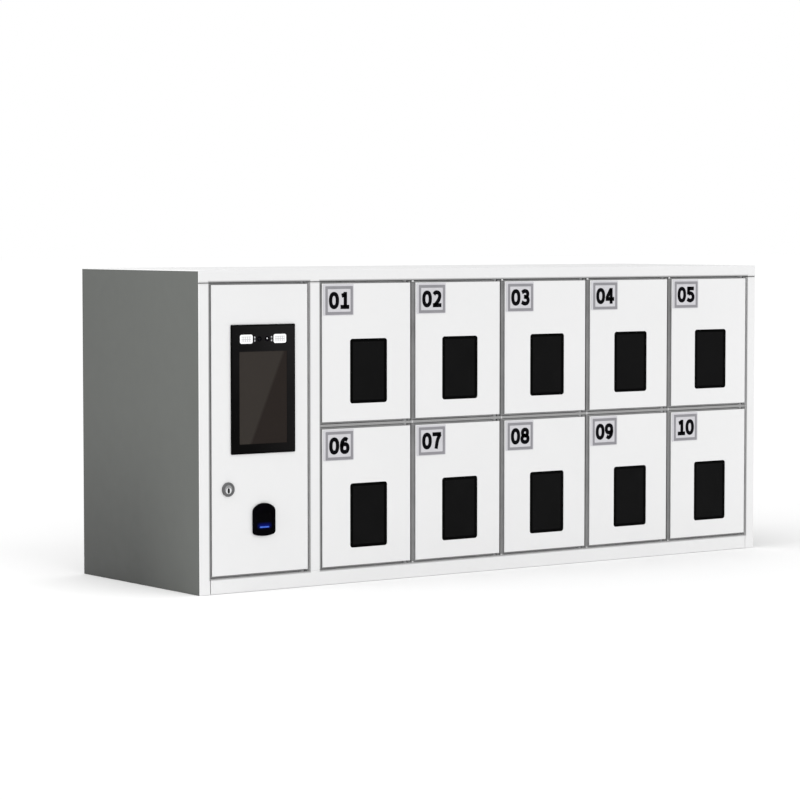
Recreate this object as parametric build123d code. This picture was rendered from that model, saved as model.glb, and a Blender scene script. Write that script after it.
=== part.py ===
from build123d import *
import os

# An electronic locker for mobile phones: a folded steel box with a control door and a bank of
# small phone doors. Millimetres, X to the right along the front, Y to the back, Z up.
# The origin is on the underside, below the middle of the box.

# Overall box
width = 970.0
depth = 300.0
height = 420.0
sheet = 1.2
fold_radius = 0.8

# Front frame
top_rail_height = 16.0
bottom_rail_height = 20.5
side_post_width = 16.0
centre_post_width = 17.5
frame_return = 19.0
joint_gap = 0.9
stop_flange_width = 8.0

# Walls between the compartments
columns = 5
divider_front_width = 3.0
shelf_front_height = 3.5
hem_depth = 12.0
hem_recess = 2.0

# Panels
panel_flange = 12.0
back_recess = 2.5
vent_count = 8
vent_length = 60.0
vent_width = 3.0
vent_pitch = 9.0
vent_top_margin = 40.0
wall_hole_radius = 4.5
wall_hole_from_side = 150.0
wall_hole_from_edge = 38.0

# Doors
door_gap = 3.0
door_depth = 14.0
control_door_width = 149.5
seat_gap = 0.3

# Hinge pins
pin_radius = 2.0
pin_play = 0.05
pin_reach = 4.0
collar_radius = 4.0
hinge_from_edge = 7.0
hinge_from_front = 6.0

# Windows and number plates on the phone doors
window_width = 61.0
window_height = 86.5
window_left = 44.9
window_bottom = 23.5
window_radius = 4.0
window_lip = 4.0
window_lip_thickness = 1.8
window_recess = 0.4
number_plate_width = 49.0
number_plate_height = 41.3
number_plate_thickness = 0.6
number_plate_left = 1.5
number_plate_top = 1.0
number_plate_radius = 1.0

# Electric latches of the phone doors
latch_from_shelf = 60.0
striker_left = 4.0
striker_width = 8.0
striker_reach = 42.0
striker_thickness = 2.0
striker_hole_radius = 3.5
bolt_from_tip = 8.0
bolt_radius = 2.8
bolt_play = 0.05
bolt_length = 18.0
bolt_travel = 8.5
bolt_rest_gap = 0.4
slot_height = 5.2
slot_side_room = 5.5
case_setback = 22.0
case_length = 44.0
case_past_striker = 2.0
case_head = 10.0
case_foot = 5.0
case_radius = 1.5
case_screw_inset = 6.0

# Cam lock of the control door
cam_lock_left = 24.5
cam_lock_bottom = 112.1
lock_rim_radius = 9.3
lock_rim_height = 2.2
lock_barrel_radius = 8.0
lock_nut_flats = 22.0
lock_nut_thickness = 4.5
plug_radius = 5.8
plug_play = 0.05
plug_recess = 0.4
keyhole_width = 2.2
keyhole_height = 7.5
keyhole_depth = 9.0
keyhole_drop = 1.6
tail_width = 7.0
cam_thickness = 2.5
cam_width = 12.0
cam_reach = 25.0
cam_clearance = 0.5

# Face terminal on the control door
terminal_width = 99.7
terminal_height = 168.6
terminal_left = 29.0
terminal_bottom = 157.0
bezel_thickness = 1.5
bezel_radius = 1.5
display_width = 74.1
display_height = 120.8
display_bottom = 12.6
display_lip = 3.0
glass_recess = 0.3
lip_thickness = 1.8
lamp_width = 20.0
lamp_height = 12.0
lamp_radius = 2.6
lamp_bottom = 143.65
lamp_inset = 0.9
sensor_width = 2.4
sensor_height = 6.8
sensor_from_lamp = 1.8
camera_radius = 3.4
camera_offset = 6.0
housing_margin = 4.2
housing_depth = 27.0
housing_wall = 2.0
circuit_thickness = 1.6
circuit_standoff = 6.0
circuit_margin = 3.0
standoff_radius = 2.5

# Fingerprint reader on the control door
reader_width = 34.6
reader_height = 43.3
reader_left = 62.0
reader_bottom = 48.5
reader_top_rise = 8.0
reader_foot_drop = 3.0
reader_shoulder_radius = 8.0
reader_foot_radius = 5.0
reader_pocket_radius = 3.0
reader_proud = 3.0
reader_body_margin = 5.0
reader_body_depth = 16.0
reader_window_width = 24.0
reader_window_height = 22.0
reader_window_bottom = 8.5
reader_window_depth = 1.6
reader_glass_recess = 0.6

# Control bay behind the control door
board_width = 100.0
board_right_room = 22.0
board_standoff = 4.0
board_margin = 12.0
connector_height = 10.0
connector_length = 14.0
supply_width = 98.0
supply_depth = 97.0
supply_height = 35.0
supply_left = 20.0
supply_block_depth = 12.0
supply_block_height = 8.0
inlet_width = 28.0
inlet_height = 20.0
inlet_flange = 10.0
inlet_flange_thickness = 1.8
inlet_depth = 24.0
inlet_wall = 2.0
inlet_from_side = 45.0
inlet_above_supply = 18.0
blade_length = 9.0
blade_width = 4.0
blade_thickness = 2.0
blade_pitch = 7.0

# Wiring and screws
trunk_radius = 3.5
trunk_from_back = 10.0
lead_radius = 1.5
lead_below_latch = 15.0
grommet_gap = 0.8
screw_radius = 1.9
screw_head_radius = 3.8
screw_head_height = 1.8
screw_length = 7.0
screw_play = 0.1
case_screw_radius = 1.4
case_screw_head_radius = 2.6
case_screw_head_height = 1.5
case_screw_tip = 1.0

# Planes and edges that follow from the sizes above
left = -width / 2
right = width / 2
front = -depth / 2
back_outer = depth / 2 - back_recess
back_inner = back_outer - sheet
flange_front = back_inner - sheet
inner_left = left + sheet
inner_right = right - sheet
under_top = height - sheet
rail_z = height - top_rail_height
floor_z = bottom_rail_height
frame_back = front + frame_return
door_back = front + door_depth
hem_front = front + hem_recess
hem_back = hem_front + hem_depth
sheets_end = flange_front - seat_gap
bank_left = left + side_post_width + door_gap + control_door_width + door_gap + centre_post_width
bank_right = right - side_post_width
strip = divider_front_width + 2 * door_gap
door_width = (bank_right - bank_left - 2 * door_gap - (columns - 1) * strip) / columns
door_height = (rail_z - floor_z - shelf_front_height - 4 * door_gap) / 2
shelf_z = (rail_z + floor_z) / 2
hinge_y = front + hinge_from_front
wall_offset = door_gap + divider_front_width / 2 - sheet / 2
control_left = left + side_post_width + door_gap
control_bottom = floor_z + door_gap
control_height = rail_z - floor_z - 2 * door_gap
post_right = bank_left
post_left = post_right - centre_post_width
trunk_y = back_inner - trunk_from_back
lock_x = control_left + cam_lock_left
lock_z = control_bottom + cam_lock_bottom
lock_barrel_end = door_back + 1.2


def door_left(column):
    return bank_left + door_gap + column * (door_width + strip)


def door_bottom(row):
    """Row 0 is above the shelf and row 1 below it."""
    if row == 0:
        return shelf_z + shelf_front_height / 2 + door_gap
    return floor_z + door_gap


def wall_x(column):
    """Right-hand face of the wall on the left of a column."""
    return door_left(column) - wall_offset


def divider_x(column):
    """Middle of the divider between a column and the next one."""
    return door_left(column) + door_width + strip / 2


def hinge_x(column):
    return door_left(column) + door_width - hinge_from_edge


def latch_z(row):
    return shelf_z + (latch_from_shelf if row == 0 else -latch_from_shelf)


def lead_z(row):
    return latch_z(row) - lead_below_latch


def block(x0, x1, y0, y1, z0, z1):
    """A box between six planes."""
    return Pos((x0 + x1) / 2, (y0 + y1) / 2, (z0 + z1) / 2) * Box(x1 - x0, y1 - y0, z1 - z0)


def rod_x(x0, x1, y, z, radius):
    return Pos((x0 + x1) / 2, y, z) * Rot(0, 90, 0) * Cylinder(radius, x1 - x0)


def rod_y(x, y0, y1, z, radius):
    return Pos(x, (y0 + y1) / 2, z) * Rot(90, 0, 0) * Cylinder(radius, y1 - y0)


def rod_z(x, y, z0, z1, radius):
    return Pos(x, y, (z0 + z1) / 2) * Cylinder(radius, z1 - z0)


def plate(outline, y0, y1):
    """An outline drawn in X and Z, given its thickness between two Y planes."""
    plane = Plane(origin=(0, y1, 0), x_dir=(1, 0, 0), z_dir=(0, -1, 0))
    return extrude(plane * outline, y1 - y0)


def rounded(x0, z0, w, h, radius):
    return Pos(x0 + w / 2, z0 + h / 2) * RectangleRounded(w, h, radius)


def save(name, *shapes):
    """Writes one node, as one solid or as a group of separate solids."""
    solids = [solid for shape in shapes for solid in shape.solids()]
    export_step(solids[0] if len(solids) == 1 else Compound(solids), f"parts/{name}.step")


# ---------------------------------------------------------------- cabinet

rear_screw_spots = [
    (side * x, z)
    for side in (-1, 1)
    for x in (width * 0.14, width * 0.41)
    for z in (sheet + panel_flange / 2, under_top - panel_flange / 2)
] + [
    (side * (inner_right - panel_flange / 2), z)
    for side in (-1, 1)
    for z in (height * 0.3, height * 0.7)
]


def rear_screw_holes():
    y0 = flange_front - screw_play
    return [rod_y(x, y0, back_outer + screw_play, z, screw_radius + screw_play) for x, z in rear_screw_spots]


def pin_holes(z0, z1, with_control_door):
    spots = [hinge_x(column) for column in range(columns)]
    if with_control_door:
        spots.append(control_left + control_door_width - hinge_from_edge)
    return [rod_z(x, hinge_y, z0, z1, pin_radius + pin_play) for x in spots]


def top_panel():
    """The lid: its front edge is folded down as the top rail and then back."""
    skin = block(left, right, front, depth / 2, under_top, height)
    skin += block(left, right, front, front + sheet, rail_z, height)
    skin = fillet(skin.edges().filter_by(Axis.X).group_by(Axis.Y)[0], fold_radius)
    skin += block(inner_left, inner_right, front + sheet, frame_back, rail_z, rail_z + sheet)
    flange_z = under_top - panel_flange
    for x0 in (inner_left, inner_right - sheet):
        skin += block(x0, x0 + sheet, frame_back, flange_front - sheet, flange_z, under_top)
    tuck = inner_right - panel_flange - sheet
    skin += block(-tuck, tuck, flange_front, back_inner, flange_z, under_top)
    for hole in rear_screw_holes() + pin_holes(rail_z - 1, rail_z + sheet + 1, True):
        skin -= hole
    return skin


def side_panel(side):
    """side is -1 for the left panel and 1 for the right one."""
    outer, inner = side * right, side * inner_right
    lip = side * (inner_right - panel_flange)
    skin = block(min(outer, inner), max(outer, inner), front + sheet, depth / 2, 0, under_top)
    skin += block(min(inner, lip), max(inner, lip), flange_front, back_inner, sheet, under_top)
    for hole in rear_screw_holes():
        skin -= hole
    return skin


def bottom_panel():
    skin = block(inner_left, inner_right, front + sheet, back_outer, 0, sheet)
    flange_z = sheet + panel_flange
    for x0 in (inner_left, inner_right - sheet):
        skin += block(x0, x0 + sheet, frame_back, flange_front - sheet, sheet, flange_z)
    tuck = inner_right - panel_flange - sheet
    skin += block(-tuck, tuck, flange_front, back_inner, sheet, flange_z)
    for hole in rear_screw_holes():
        skin -= hole
    return skin


def floor_panel():
    """The floor of the compartments, folded down at the front as the bottom rail."""
    end = bank_right - joint_gap
    skin = block(-end, end, front, front + sheet, 0, floor_z)
    skin += block(-end, end, front, frame_back, floor_z - sheet, floor_z)
    skin = fillet(skin.edges().filter_by(Axis.X).group_by(Axis.Y)[0], fold_radius)
    skin += block(inner_left, inner_right, frame_back, sheets_end, floor_z - sheet, floor_z)
    for hole in pin_holes(floor_z - sheet - 1, floor_z + 1, True):
        skin -= hole
    return skin


def side_post(side):
    """A folded post: face and inner return; the left one also stops the control door."""
    outer, inner = side * right, side * bank_right
    web = inner + side * sheet
    post = block(min(outer, inner), max(outer, inner), front, front + sheet, 0, rail_z - joint_gap)
    stop_y = door_back + seat_gap
    web_back = stop_y + sheet if side < 0 else frame_back
    post += block(min(inner, web), max(inner, web), front, web_back, sheet, rail_z - joint_gap)
    post = fillet(post.edges().filter_by(Axis.Z).group_by(Axis.Y)[0], fold_radius)
    if side < 0:
        tip = inner + stop_flange_width
        z0, z1 = floor_z + seat_gap, rail_z - joint_gap
        post += block(inner, tip, stop_y, stop_y + sheet, z0, z1)
    return post


def centre_post():
    post = block(post_left, post_right, front, frame_back, floor_z, rail_z - joint_gap)
    post = fillet(post.edges().filter_by(Axis.Z).group_by(Axis.Y)[0], fold_radius)
    inside = (post_left + sheet, post_right - sheet, front + sheet, frame_back)
    return post - block(*inside, floor_z, rail_z - joint_gap)


def wiring_holes(x0, x1):
    radius = trunk_radius + grommet_gap
    return [rod_x(x0, x1, trunk_y, lead_z(row), radius) for row in (0, 1)]


def case_screw_spots(row):
    """Y and Z of the two screws that hold a latch case to its wall."""
    top = latch_z(row) + slot_height / 2
    case_y = front + case_setback
    foot = latch_z(row) - slot_height / 2 - case_screw_inset
    return [(case_y + case_length - case_screw_inset, z) for z in (top, foot - case_screw_inset)]


def case_screw_holes(x0, x1):
    radius = case_screw_radius + screw_play
    return [rod_x(x0, x1, y, z, radius) for row in (0, 1) for y, z in case_screw_spots(row)]


def centre_partition():
    """The wall between the control bay and the first column."""
    x1 = wall_x(0)
    x0 = x1 - sheet
    wall = block(x0, x1, frame_back, sheets_end, floor_z, under_top)
    for hole in wiring_holes(x0 - 1, x1 + 1) + case_screw_holes(x0 - 1, x1 + 1):
        wall -= hole
    return wall


def divider(column, row):
    """One wall between two compartments, with a thick hem along its front edge."""
    x = divider_x(column)
    half, hem = sheet / 2, divider_front_width / 2
    if row == 0:
        web_z, hem_z = shelf_z + half, shelf_z + shelf_front_height / 2
        wall = block(x - hem, x + hem, hem_front, hem_back, hem_z, rail_z)
        wall += block(x - half, x + half, hem_back, frame_back, web_z, rail_z)
        wall += block(x - half, x + half, frame_back, sheets_end, web_z, under_top)
    else:
        web_z, hem_z = shelf_z - half, shelf_z - shelf_front_height / 2
        wall = block(x - hem, x + hem, hem_front, hem_back, floor_z, hem_z)
        wall += block(x - half, x + half, hem_back, sheets_end, floor_z, web_z)
    for hole in wiring_holes(x - 1, x + 1) + case_screw_holes(x - 1, x + 1):
        wall -= hole
    return wall


def mid_shelf():
    half, hem = sheet / 2, shelf_front_height / 2
    shelf = block(bank_left, bank_right, hem_front, hem_back, shelf_z - hem, shelf_z + hem)
    shelf += block(bank_left, bank_right, hem_back, frame_back, shelf_z - half, shelf_z + half)
    shelf += block(wall_x(0), inner_right, frame_back, sheets_end, shelf_z - half, shelf_z + half)
    for hole in pin_holes(shelf_z - hem - 1, shelf_z + hem + 1, False):
        shelf -= hole
    return shelf


def back_panel():
    """A flat panel with wall fixing holes, vents for the control bay and the inlet's cut-out."""
    z1 = under_top
    skin = block(inner_left, inner_right, back_inner, back_outer, sheet, z1)
    for hole in rear_screw_holes():
        skin -= hole
    for x in (left + wall_hole_from_side, right - wall_hole_from_side):
        for z in (wall_hole_from_edge, height - wall_hole_from_edge):
            skin -= rod_y(x, back_inner - 1, back_outer + 1, z, wall_hole_radius)
    vent_x = (inner_left + wall_x(0)) / 2
    for n in range(vent_count):
        z = under_top - panel_flange - vent_top_margin - n * vent_pitch
        slot = Pos(vent_x, z) * SlotOverall(vent_length, vent_width)
        skin -= plate(slot, back_inner - 1, back_outer + 1)
    cut = rounded(inlet_x - inlet_width / 2, inlet_z - inlet_height / 2, inlet_width, inlet_height, inlet_wall)
    return skin - plate(cut, back_inner - 1, back_outer + 1)


# ---------------------------------------------------------------- hinge pins


def collar(x, z0, z1):
    return rod_z(x, hinge_y, z0, z1, collar_radius)


def top_pin(x):
    pin = rod_z(x, hinge_y, rail_z - door_gap - sheet - pin_reach, rail_z + sheet + pin_reach, pin_radius)
    return pin + collar(x, rail_z - door_gap + seat_gap, rail_z)


def bottom_pin(x):
    pin = rod_z(x, hinge_y, floor_z - sheet - pin_reach, floor_z + door_gap + sheet + pin_reach, pin_radius)
    return pin + collar(x, floor_z, floor_z + door_gap - seat_gap)


def middle_pin(x):
    """One pin carries the top of a lower door and the bottom of the door above it."""
    hem = shelf_front_height / 2
    reach = hem + door_gap + sheet + pin_reach
    pin = rod_z(x, hinge_y, shelf_z - reach, shelf_z + reach, pin_radius)
    pin += collar(x, shelf_z + hem, shelf_z + hem + door_gap - seat_gap)
    return pin + collar(x, shelf_z - hem - door_gap + seat_gap, shelf_z - hem)


def hinge_pins():
    control_x = control_left + control_door_width - hinge_from_edge
    pins = [top_pin(control_x), bottom_pin(control_x)]
    for column in range(columns):
        x = hinge_x(column)
        pins += [top_pin(x), middle_pin(x), bottom_pin(x)]
    return pins


# ---------------------------------------------------------------- phone doors


def door_pan(x0, z0, w, h):
    """A folded door: a front sheet with a return on each edge and a pin hole above and below."""
    pan = block(x0, x0 + w, front, door_back, z0, z0 + h)
    pan = fillet(pan.faces().sort_by(Axis.Y)[0].edges(), fold_radius)
    pan -= block(x0 + sheet, x0 + w - sheet, front + sheet, door_back, z0 + sheet, z0 + h - sheet)
    return pan - rod_z(x0 + w - hinge_from_edge, hinge_y, z0 - 1, z0 + h + 1, pin_radius + pin_play)


def striker(x0, z):
    """The flat tongue behind a phone door that the latch bolt goes through."""
    z0, z1 = z - striker_thickness / 2, z + striker_thickness / 2
    x1 = x0 + striker_left + striker_width
    tip = front + striker_reach
    tongue = block(x0 + sheet, x1, front + sheet, door_back, z0, z1)
    tongue += block(x0 + striker_left, x1, door_back, tip, z0, z1)
    hole_x = x0 + striker_left + striker_width / 2
    return tongue - rod_z(hole_x, tip - bolt_from_tip, z0 - 1, z1 + 1, striker_hole_radius)


def phone_door(column, row):
    x0, z0 = door_left(column), door_bottom(row)
    hole = rounded(x0 + window_left, z0 + window_bottom, window_width, window_height, window_radius)
    pan = door_pan(x0, z0, door_width, door_height) + striker(x0, latch_z(row))
    return pan - plate(hole, front - 1, front + sheet + 1)


def number_plate(column, row):
    x0 = door_left(column) + number_plate_left
    z0 = door_bottom(row) + door_height - number_plate_top - number_plate_height
    outline = rounded(x0, z0, number_plate_width, number_plate_height, number_plate_radius)
    return plate(outline, front - number_plate_thickness, front)


def window(column, row):
    """A dark pane whose lip is bonded behind the door's front sheet."""
    x0 = door_left(column) + window_left
    z0 = door_bottom(row) + window_bottom
    w, h = window_width, window_height
    gap, lip = seat_gap, window_lip
    boss = rounded(x0 + gap, z0 + gap, w - 2 * gap, h - 2 * gap, window_radius - gap)
    edge = rounded(x0 - lip, z0 - lip, w + 2 * lip, h + 2 * lip, window_radius)
    pane = plate(boss, front + window_recess, front + sheet)
    return pane + plate(edge, front + sheet, front + sheet + window_lip_thickness)


def bolt_spot(column):
    x = door_left(column) + striker_left + striker_width / 2
    return x, front + striker_reach - bolt_from_tip


def latch_bolt(column, row):
    x, y = bolt_spot(column)
    top = latch_z(row) - slot_height / 2 - bolt_rest_gap
    bolt = rod_z(x, y, top - bolt_length, top, bolt_radius)
    return chamfer(bolt.edges().group_by(Axis.Z)[-1], bolt_radius / 4)


def latch_case(column, row):
    """The case on the wall: a slot for the striker, and a bore for the bolt across it."""
    x0 = wall_x(column)
    x1 = door_left(column) + striker_left + striker_width + case_past_striker
    y0 = front + case_setback
    y1 = y0 + case_length
    slot_low, slot_high = latch_z(row) - slot_height / 2, latch_z(row) + slot_height / 2
    bore_low = slot_low - bolt_rest_gap - bolt_length - seat_gap
    case = block(x0, x1, y0, y1, bore_low - case_foot, slot_high + case_head)
    case = fillet(case.edges().filter_by(Axis.Y).group_by(Axis.X)[-1], case_radius)
    slot_x = door_left(column) + striker_left - slot_side_room
    case -= block(slot_x, x1, y0, front + striker_reach + seat_gap, slot_low, slot_high)
    x, y = bolt_spot(column)
    bore_high = slot_low - bolt_rest_gap + bolt_travel + seat_gap
    case -= rod_z(x, y, bore_low, bore_high, bolt_radius + bolt_play)
    for hole_y, hole_z in case_screw_spots(row):
        case -= rod_x(x0 - 1, x1 + 1, hole_y, hole_z, case_screw_radius + screw_play)
    return case


# ---------------------------------------------------------------- control door

terminal_x = control_left + terminal_left
terminal_z = control_bottom + terminal_bottom
terminal_mid = terminal_x + terminal_width / 2
display_x = terminal_mid - display_width / 2
display_z = terminal_z + display_bottom
lamp_z = terminal_z + lamp_bottom
lamp_left_x = display_x + lamp_inset
lamp_right_x = display_x + display_width - lamp_width - lamp_inset
camera_z = lamp_z + lamp_height / 2
bezel_front = front - bezel_thickness
housing_x = terminal_x + housing_margin
housing_z = terminal_z + housing_margin
housing_width = terminal_width - 2 * housing_margin
housing_height = terminal_height - 2 * housing_margin
housing_back = front + housing_depth
reader_x = control_left + reader_left
reader_z = control_bottom + reader_bottom
reader_mid = reader_x + reader_width / 2


def lamp_outline(x0, grow):
    return rounded(x0 - grow, lamp_z - grow, lamp_width + 2 * grow, lamp_height + 2 * grow, lamp_radius)


def sensor_spots():
    """Left edges of the two narrow sensor panes beside the lamps."""
    return lamp_left_x + lamp_width + sensor_from_lamp, lamp_right_x - sensor_from_lamp - sensor_width


def sensor_outline(x0, grow):
    z0 = camera_z - sensor_height / 2
    return rounded(x0 - grow, z0 - grow, sensor_width + 2 * grow, sensor_height + 2 * grow, sensor_width / 4)


def display_outline(grow):
    w, h = display_width + 2 * grow, display_height + 2 * grow
    return rounded(display_x - grow, display_z - grow, w, h, bezel_radius / 2)


def camera_spots():
    return terminal_mid - camera_offset, terminal_mid + camera_offset


def terminal_bezel():
    """The front plate of the terminal, open for the display, lamps, sensors and cameras."""
    outline = rounded(terminal_x, terminal_z, terminal_width, terminal_height, bezel_radius)
    bezel = plate(outline, bezel_front, front)
    cuts = [display_outline(0), lamp_outline(lamp_left_x, 0), lamp_outline(lamp_right_x, 0)]
    cuts += [sensor_outline(x0, 0) for x0 in sensor_spots()]
    for cut in cuts:
        bezel -= plate(cut, bezel_front - 1, front + 1)
    for x in camera_spots():
        bezel -= rod_y(x, bezel_front - 1, front + 1, camera_z, camera_radius)
    return bezel


def stepped_pane(outline, grow):
    """A pane in one of the bezel's openings, with a wider lip held behind the bezel."""
    pane = plate(outline(-seat_gap / 2), bezel_front + glass_recess, front)
    return pane + plate(outline(grow), front, front + lip_thickness)


def terminal_display():
    return stepped_pane(display_outline, display_lip)


def terminal_lamps():
    lamps = [stepped_pane(lambda grow: lamp_outline(x0, grow), 0.0) for x0 in (lamp_left_x, lamp_right_x)]
    return lamps + [stepped_pane(lambda grow: sensor_outline(x0, grow), 0.0) for x0 in sensor_spots()]


def terminal_cameras():
    cameras = []
    for x in camera_spots():
        lens = rod_y(x, bezel_front + glass_recess, front, camera_z, camera_radius - seat_gap / 2)
        cameras.append(lens + rod_y(x, front, front + 3 * lip_thickness, camera_z, camera_radius))
    return cameras


def terminal_housing():
    """An open tray behind the bezel, through the door's cut-out."""
    outer = rounded(housing_x, housing_z, housing_width, housing_height, bezel_radius)
    shell = plate(outer, front, housing_back)
    w = housing_width - 2 * housing_wall
    h = housing_height - 2 * housing_wall
    inner = rounded(housing_x + housing_wall, housing_z + housing_wall, w, h, bezel_radius)
    return shell - plate(inner, front, housing_back - housing_wall)


def terminal_circuit():
    """The terminal's circuit board on four posts in its housing."""
    y1 = housing_back - housing_wall - circuit_standoff
    y0 = y1 - circuit_thickness
    edge = housing_wall + circuit_margin
    x0, x1 = housing_x + edge, housing_x + housing_width - edge
    z0, z1 = housing_z + edge, housing_z + housing_height - edge
    board = block(x0, x1, y0, y1, z0, z1)
    for x in (x0 + 2 * standoff_radius, x1 - 2 * standoff_radius):
        for z in (z0 + 2 * standoff_radius, z1 - 2 * standoff_radius):
            board += rod_y(x, y1, y1 + circuit_standoff, z, standoff_radius)
    chip = housing_width / 6
    return board + block(terminal_mid - chip, terminal_mid + chip, y0 - 3, y0, display_z, display_z + 2 * chip)


def reader_outline():
    """Straight sides, an arched top and a slightly bowed foot."""
    x0, x1 = reader_x, reader_x + reader_width
    shoulder = reader_z + reader_height - reader_top_rise
    foot = reader_z + reader_foot_drop
    top = ThreePointArc((x1, shoulder), (reader_mid, reader_z + reader_height), (x0, shoulder))
    base = ThreePointArc((x0, foot), (reader_mid, reader_z), (x1, foot))
    outline = make_face([Line((x1, foot), (x1, shoulder)), top, Line((x0, shoulder), (x0, foot)), base])
    outline = fillet(outline.vertices().group_by(Axis.Y)[-1], reader_shoulder_radius)
    return fillet(outline.vertices().group_by(Axis.Y)[0], reader_foot_radius)


def reader_pocket(grow):
    x0 = reader_mid - reader_window_width / 2
    z0 = reader_z + reader_window_bottom
    w, h = reader_window_width + 2 * grow, reader_window_height + 2 * grow
    return rounded(x0 - grow, z0 - grow, w, h, reader_pocket_radius)


def fingerprint_housing():
    body = plate(reader_outline(), front - reader_proud, front)
    body = fillet(body.faces().sort_by(Axis.Y)[0].edges(), fold_radius)
    body -= plate(reader_pocket(0), front - reader_proud, front - reader_proud + reader_window_depth)
    m = reader_body_margin
    x0, x1 = reader_x + m, reader_x + reader_width - m
    return body + block(x0, x1, front, front + reader_body_depth, reader_z + m, reader_z + reader_height - 2 * m)


def fingerprint_window():
    y0 = front - reader_proud + reader_glass_recess
    return plate(reader_pocket(-seat_gap / 2), y0, front - reader_proud + reader_window_depth)


def control_door():
    pan = door_pan(control_left, control_bottom, control_door_width, control_height)
    y0, y1 = front - 1, front + sheet + 1
    g = seat_gap
    w, h = housing_width + 2 * g, housing_height + 2 * g
    pan -= plate(rounded(housing_x - g, housing_z - g, w, h, bezel_radius), y0, y1)
    m = reader_body_margin - g
    x0, x1 = reader_x + m, reader_x + reader_width - m
    pan -= block(x0, x1, y0, y1, reader_z + m, reader_z + reader_height - 2 * m - g)
    return pan - rod_y(lock_x, y0, y1, lock_z, lock_barrel_radius + pin_play)


def lock_housing():
    """A rim in front of the door and a threaded barrel through it, bored for the plug."""
    body = rod_y(lock_x, front - lock_rim_height, front, lock_z, lock_rim_radius)
    body = fillet(body.edges().group_by(Axis.Y)[0], fold_radius)
    body += rod_y(lock_x, front, lock_barrel_end, lock_z, lock_barrel_radius)
    return body - rod_y(lock_x, front - lock_rim_height, lock_barrel_end, lock_z, plug_radius + plug_play)


def lock_nut():
    hexagon = Pos(lock_x, lock_z) * RegularPolygon(lock_nut_flats / 2, 6, major_radius=False)
    nut = plate(hexagon, front + sheet, front + sheet + lock_nut_thickness)
    return nut - rod_y(lock_x, front, door_back, lock_z, lock_barrel_radius + pin_play)


cam_front = door_back + seat_gap + sheet + cam_clearance


def lock_plug():
    """The turning plug with its key slot, and the square tail that carries the cam."""
    y0 = front - lock_rim_height + plug_recess
    plug = rod_y(lock_x, y0, cam_front, lock_z, plug_radius)
    half = keyhole_width / 2
    top = lock_z - keyhole_drop + keyhole_height / 2
    plug -= block(lock_x - half, lock_x + half, y0 - 1, y0 + keyhole_depth, top - keyhole_height, top)
    tail = tail_width / 2
    return plug + block(
        lock_x - tail, lock_x + tail, cam_front, cam_front + cam_thickness, lock_z - tail, lock_z + tail
    )


def lock_cam():
    """The cam points up when the lock is open and turns to the left post's stop flange."""
    end = cam_width / 2
    arm = Pos(lock_x, lock_z + cam_reach / 2) * Rectangle(cam_width, cam_reach)
    arm = Pos(lock_x, lock_z) * Circle(end) + arm
    arm -= Pos(lock_x, lock_z) * Rectangle(tail_width + pin_play, tail_width + pin_play)
    return plate(arm, cam_front, cam_front + cam_thickness)


def cam_screw():
    y0 = cam_front + cam_thickness
    return rod_y(lock_x, y0, y0 + screw_head_height, lock_z, cam_width / 2 - sheet)


# ---------------------------------------------------------------- control bay

supply_x = inner_left + supply_left
supply_y1 = trunk_y + supply_block_depth / 4
supply_top = floor_z + supply_height
inlet_x = left + inlet_from_side
inlet_z = supply_top + supply_block_height + inlet_above_supply
board_x1 = wall_x(0) - sheet - board_right_room
board_z0 = lead_z(1) - board_margin
board_z1 = lead_z(0) + board_margin
board_back = back_inner - board_standoff
board_front = board_back - circuit_thickness
supply_lead_x = supply_x + supply_width * 0.7
inlet_lead_x = inlet_x


def power_supply():
    body = block(supply_x, supply_x + supply_width, supply_y1 - supply_depth, supply_y1, floor_z, supply_top)
    body = fillet(body.edges().filter_by(Axis.Y).group_by(Axis.Z)[-1], fold_radius)
    y0 = supply_y1 - supply_block_depth
    terminals = block(supply_x, supply_x + supply_width, y0, supply_y1, supply_top, supply_top + supply_block_height)
    return body, terminals


def connector(x1, z):
    x0 = x1 - connector_length
    half = connector_height / 2
    return block(x0, x1, trunk_y - trunk_radius, board_front, z - half, z + half)


def control_board():
    """A circuit board on spacers from the back panel, with a connector for each cable."""
    x0 = board_x1 - board_width
    board = block(x0, board_x1, board_front, board_back, board_z0, board_z1)
    inset = 3 * standoff_radius
    spacers = [
        rod_y(x, board_back, back_inner, z, standoff_radius)
        for x in (x0 + inset, board_x1 - inset)
        for z in (board_z0 + inset, board_z1 - inset)
    ]
    plugs = [connector(board_x1, lead_z(row)) for row in (0, 1)]
    plugs.append(connector(supply_lead_x + connector_length / 2, board_z0 + connector_height / 2))
    chip = board_width / 8
    x, z = (x0 + board_x1) / 2, (board_z0 + board_z1) / 2
    chips = [block(x - chip, x + chip, board_front - 2, board_front, z - chip, z + chip)]
    return [board] + spacers + plugs + chips


def power_inlet():
    """An appliance inlet in the back panel: a flanged cup with three blades."""
    w, h = inlet_width - 2 * seat_gap, inlet_height - 2 * seat_gap
    x0, z0 = inlet_x - w / 2, inlet_z - h / 2
    cup = plate(rounded(x0, z0, w, h, inlet_wall), back_outer - inlet_depth, back_outer)
    rim = rounded(x0 - inlet_flange, z0 - inlet_flange / 3, w + 2 * inlet_flange, h + 2 * inlet_flange / 3, inlet_wall)
    cup += plate(rim, back_outer, back_outer + inlet_flange_thickness)
    t = inlet_wall
    hollow = rounded(x0 + t, z0 + t, w - 2 * t, h - 2 * t, inlet_wall / 2)
    floor_y = back_outer - inlet_depth + 2 * t
    cup -= plate(hollow, floor_y, back_outer + inlet_flange_thickness + 1)
    for x in (inlet_x - blade_pitch, inlet_x, inlet_x + blade_pitch):
        half_w, half_t = blade_width / 2, blade_thickness / 2
        cup += block(x - half_t, x + half_t, floor_y, floor_y + blade_length, inlet_z - half_w, inlet_z + half_w)
    return cup


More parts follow.
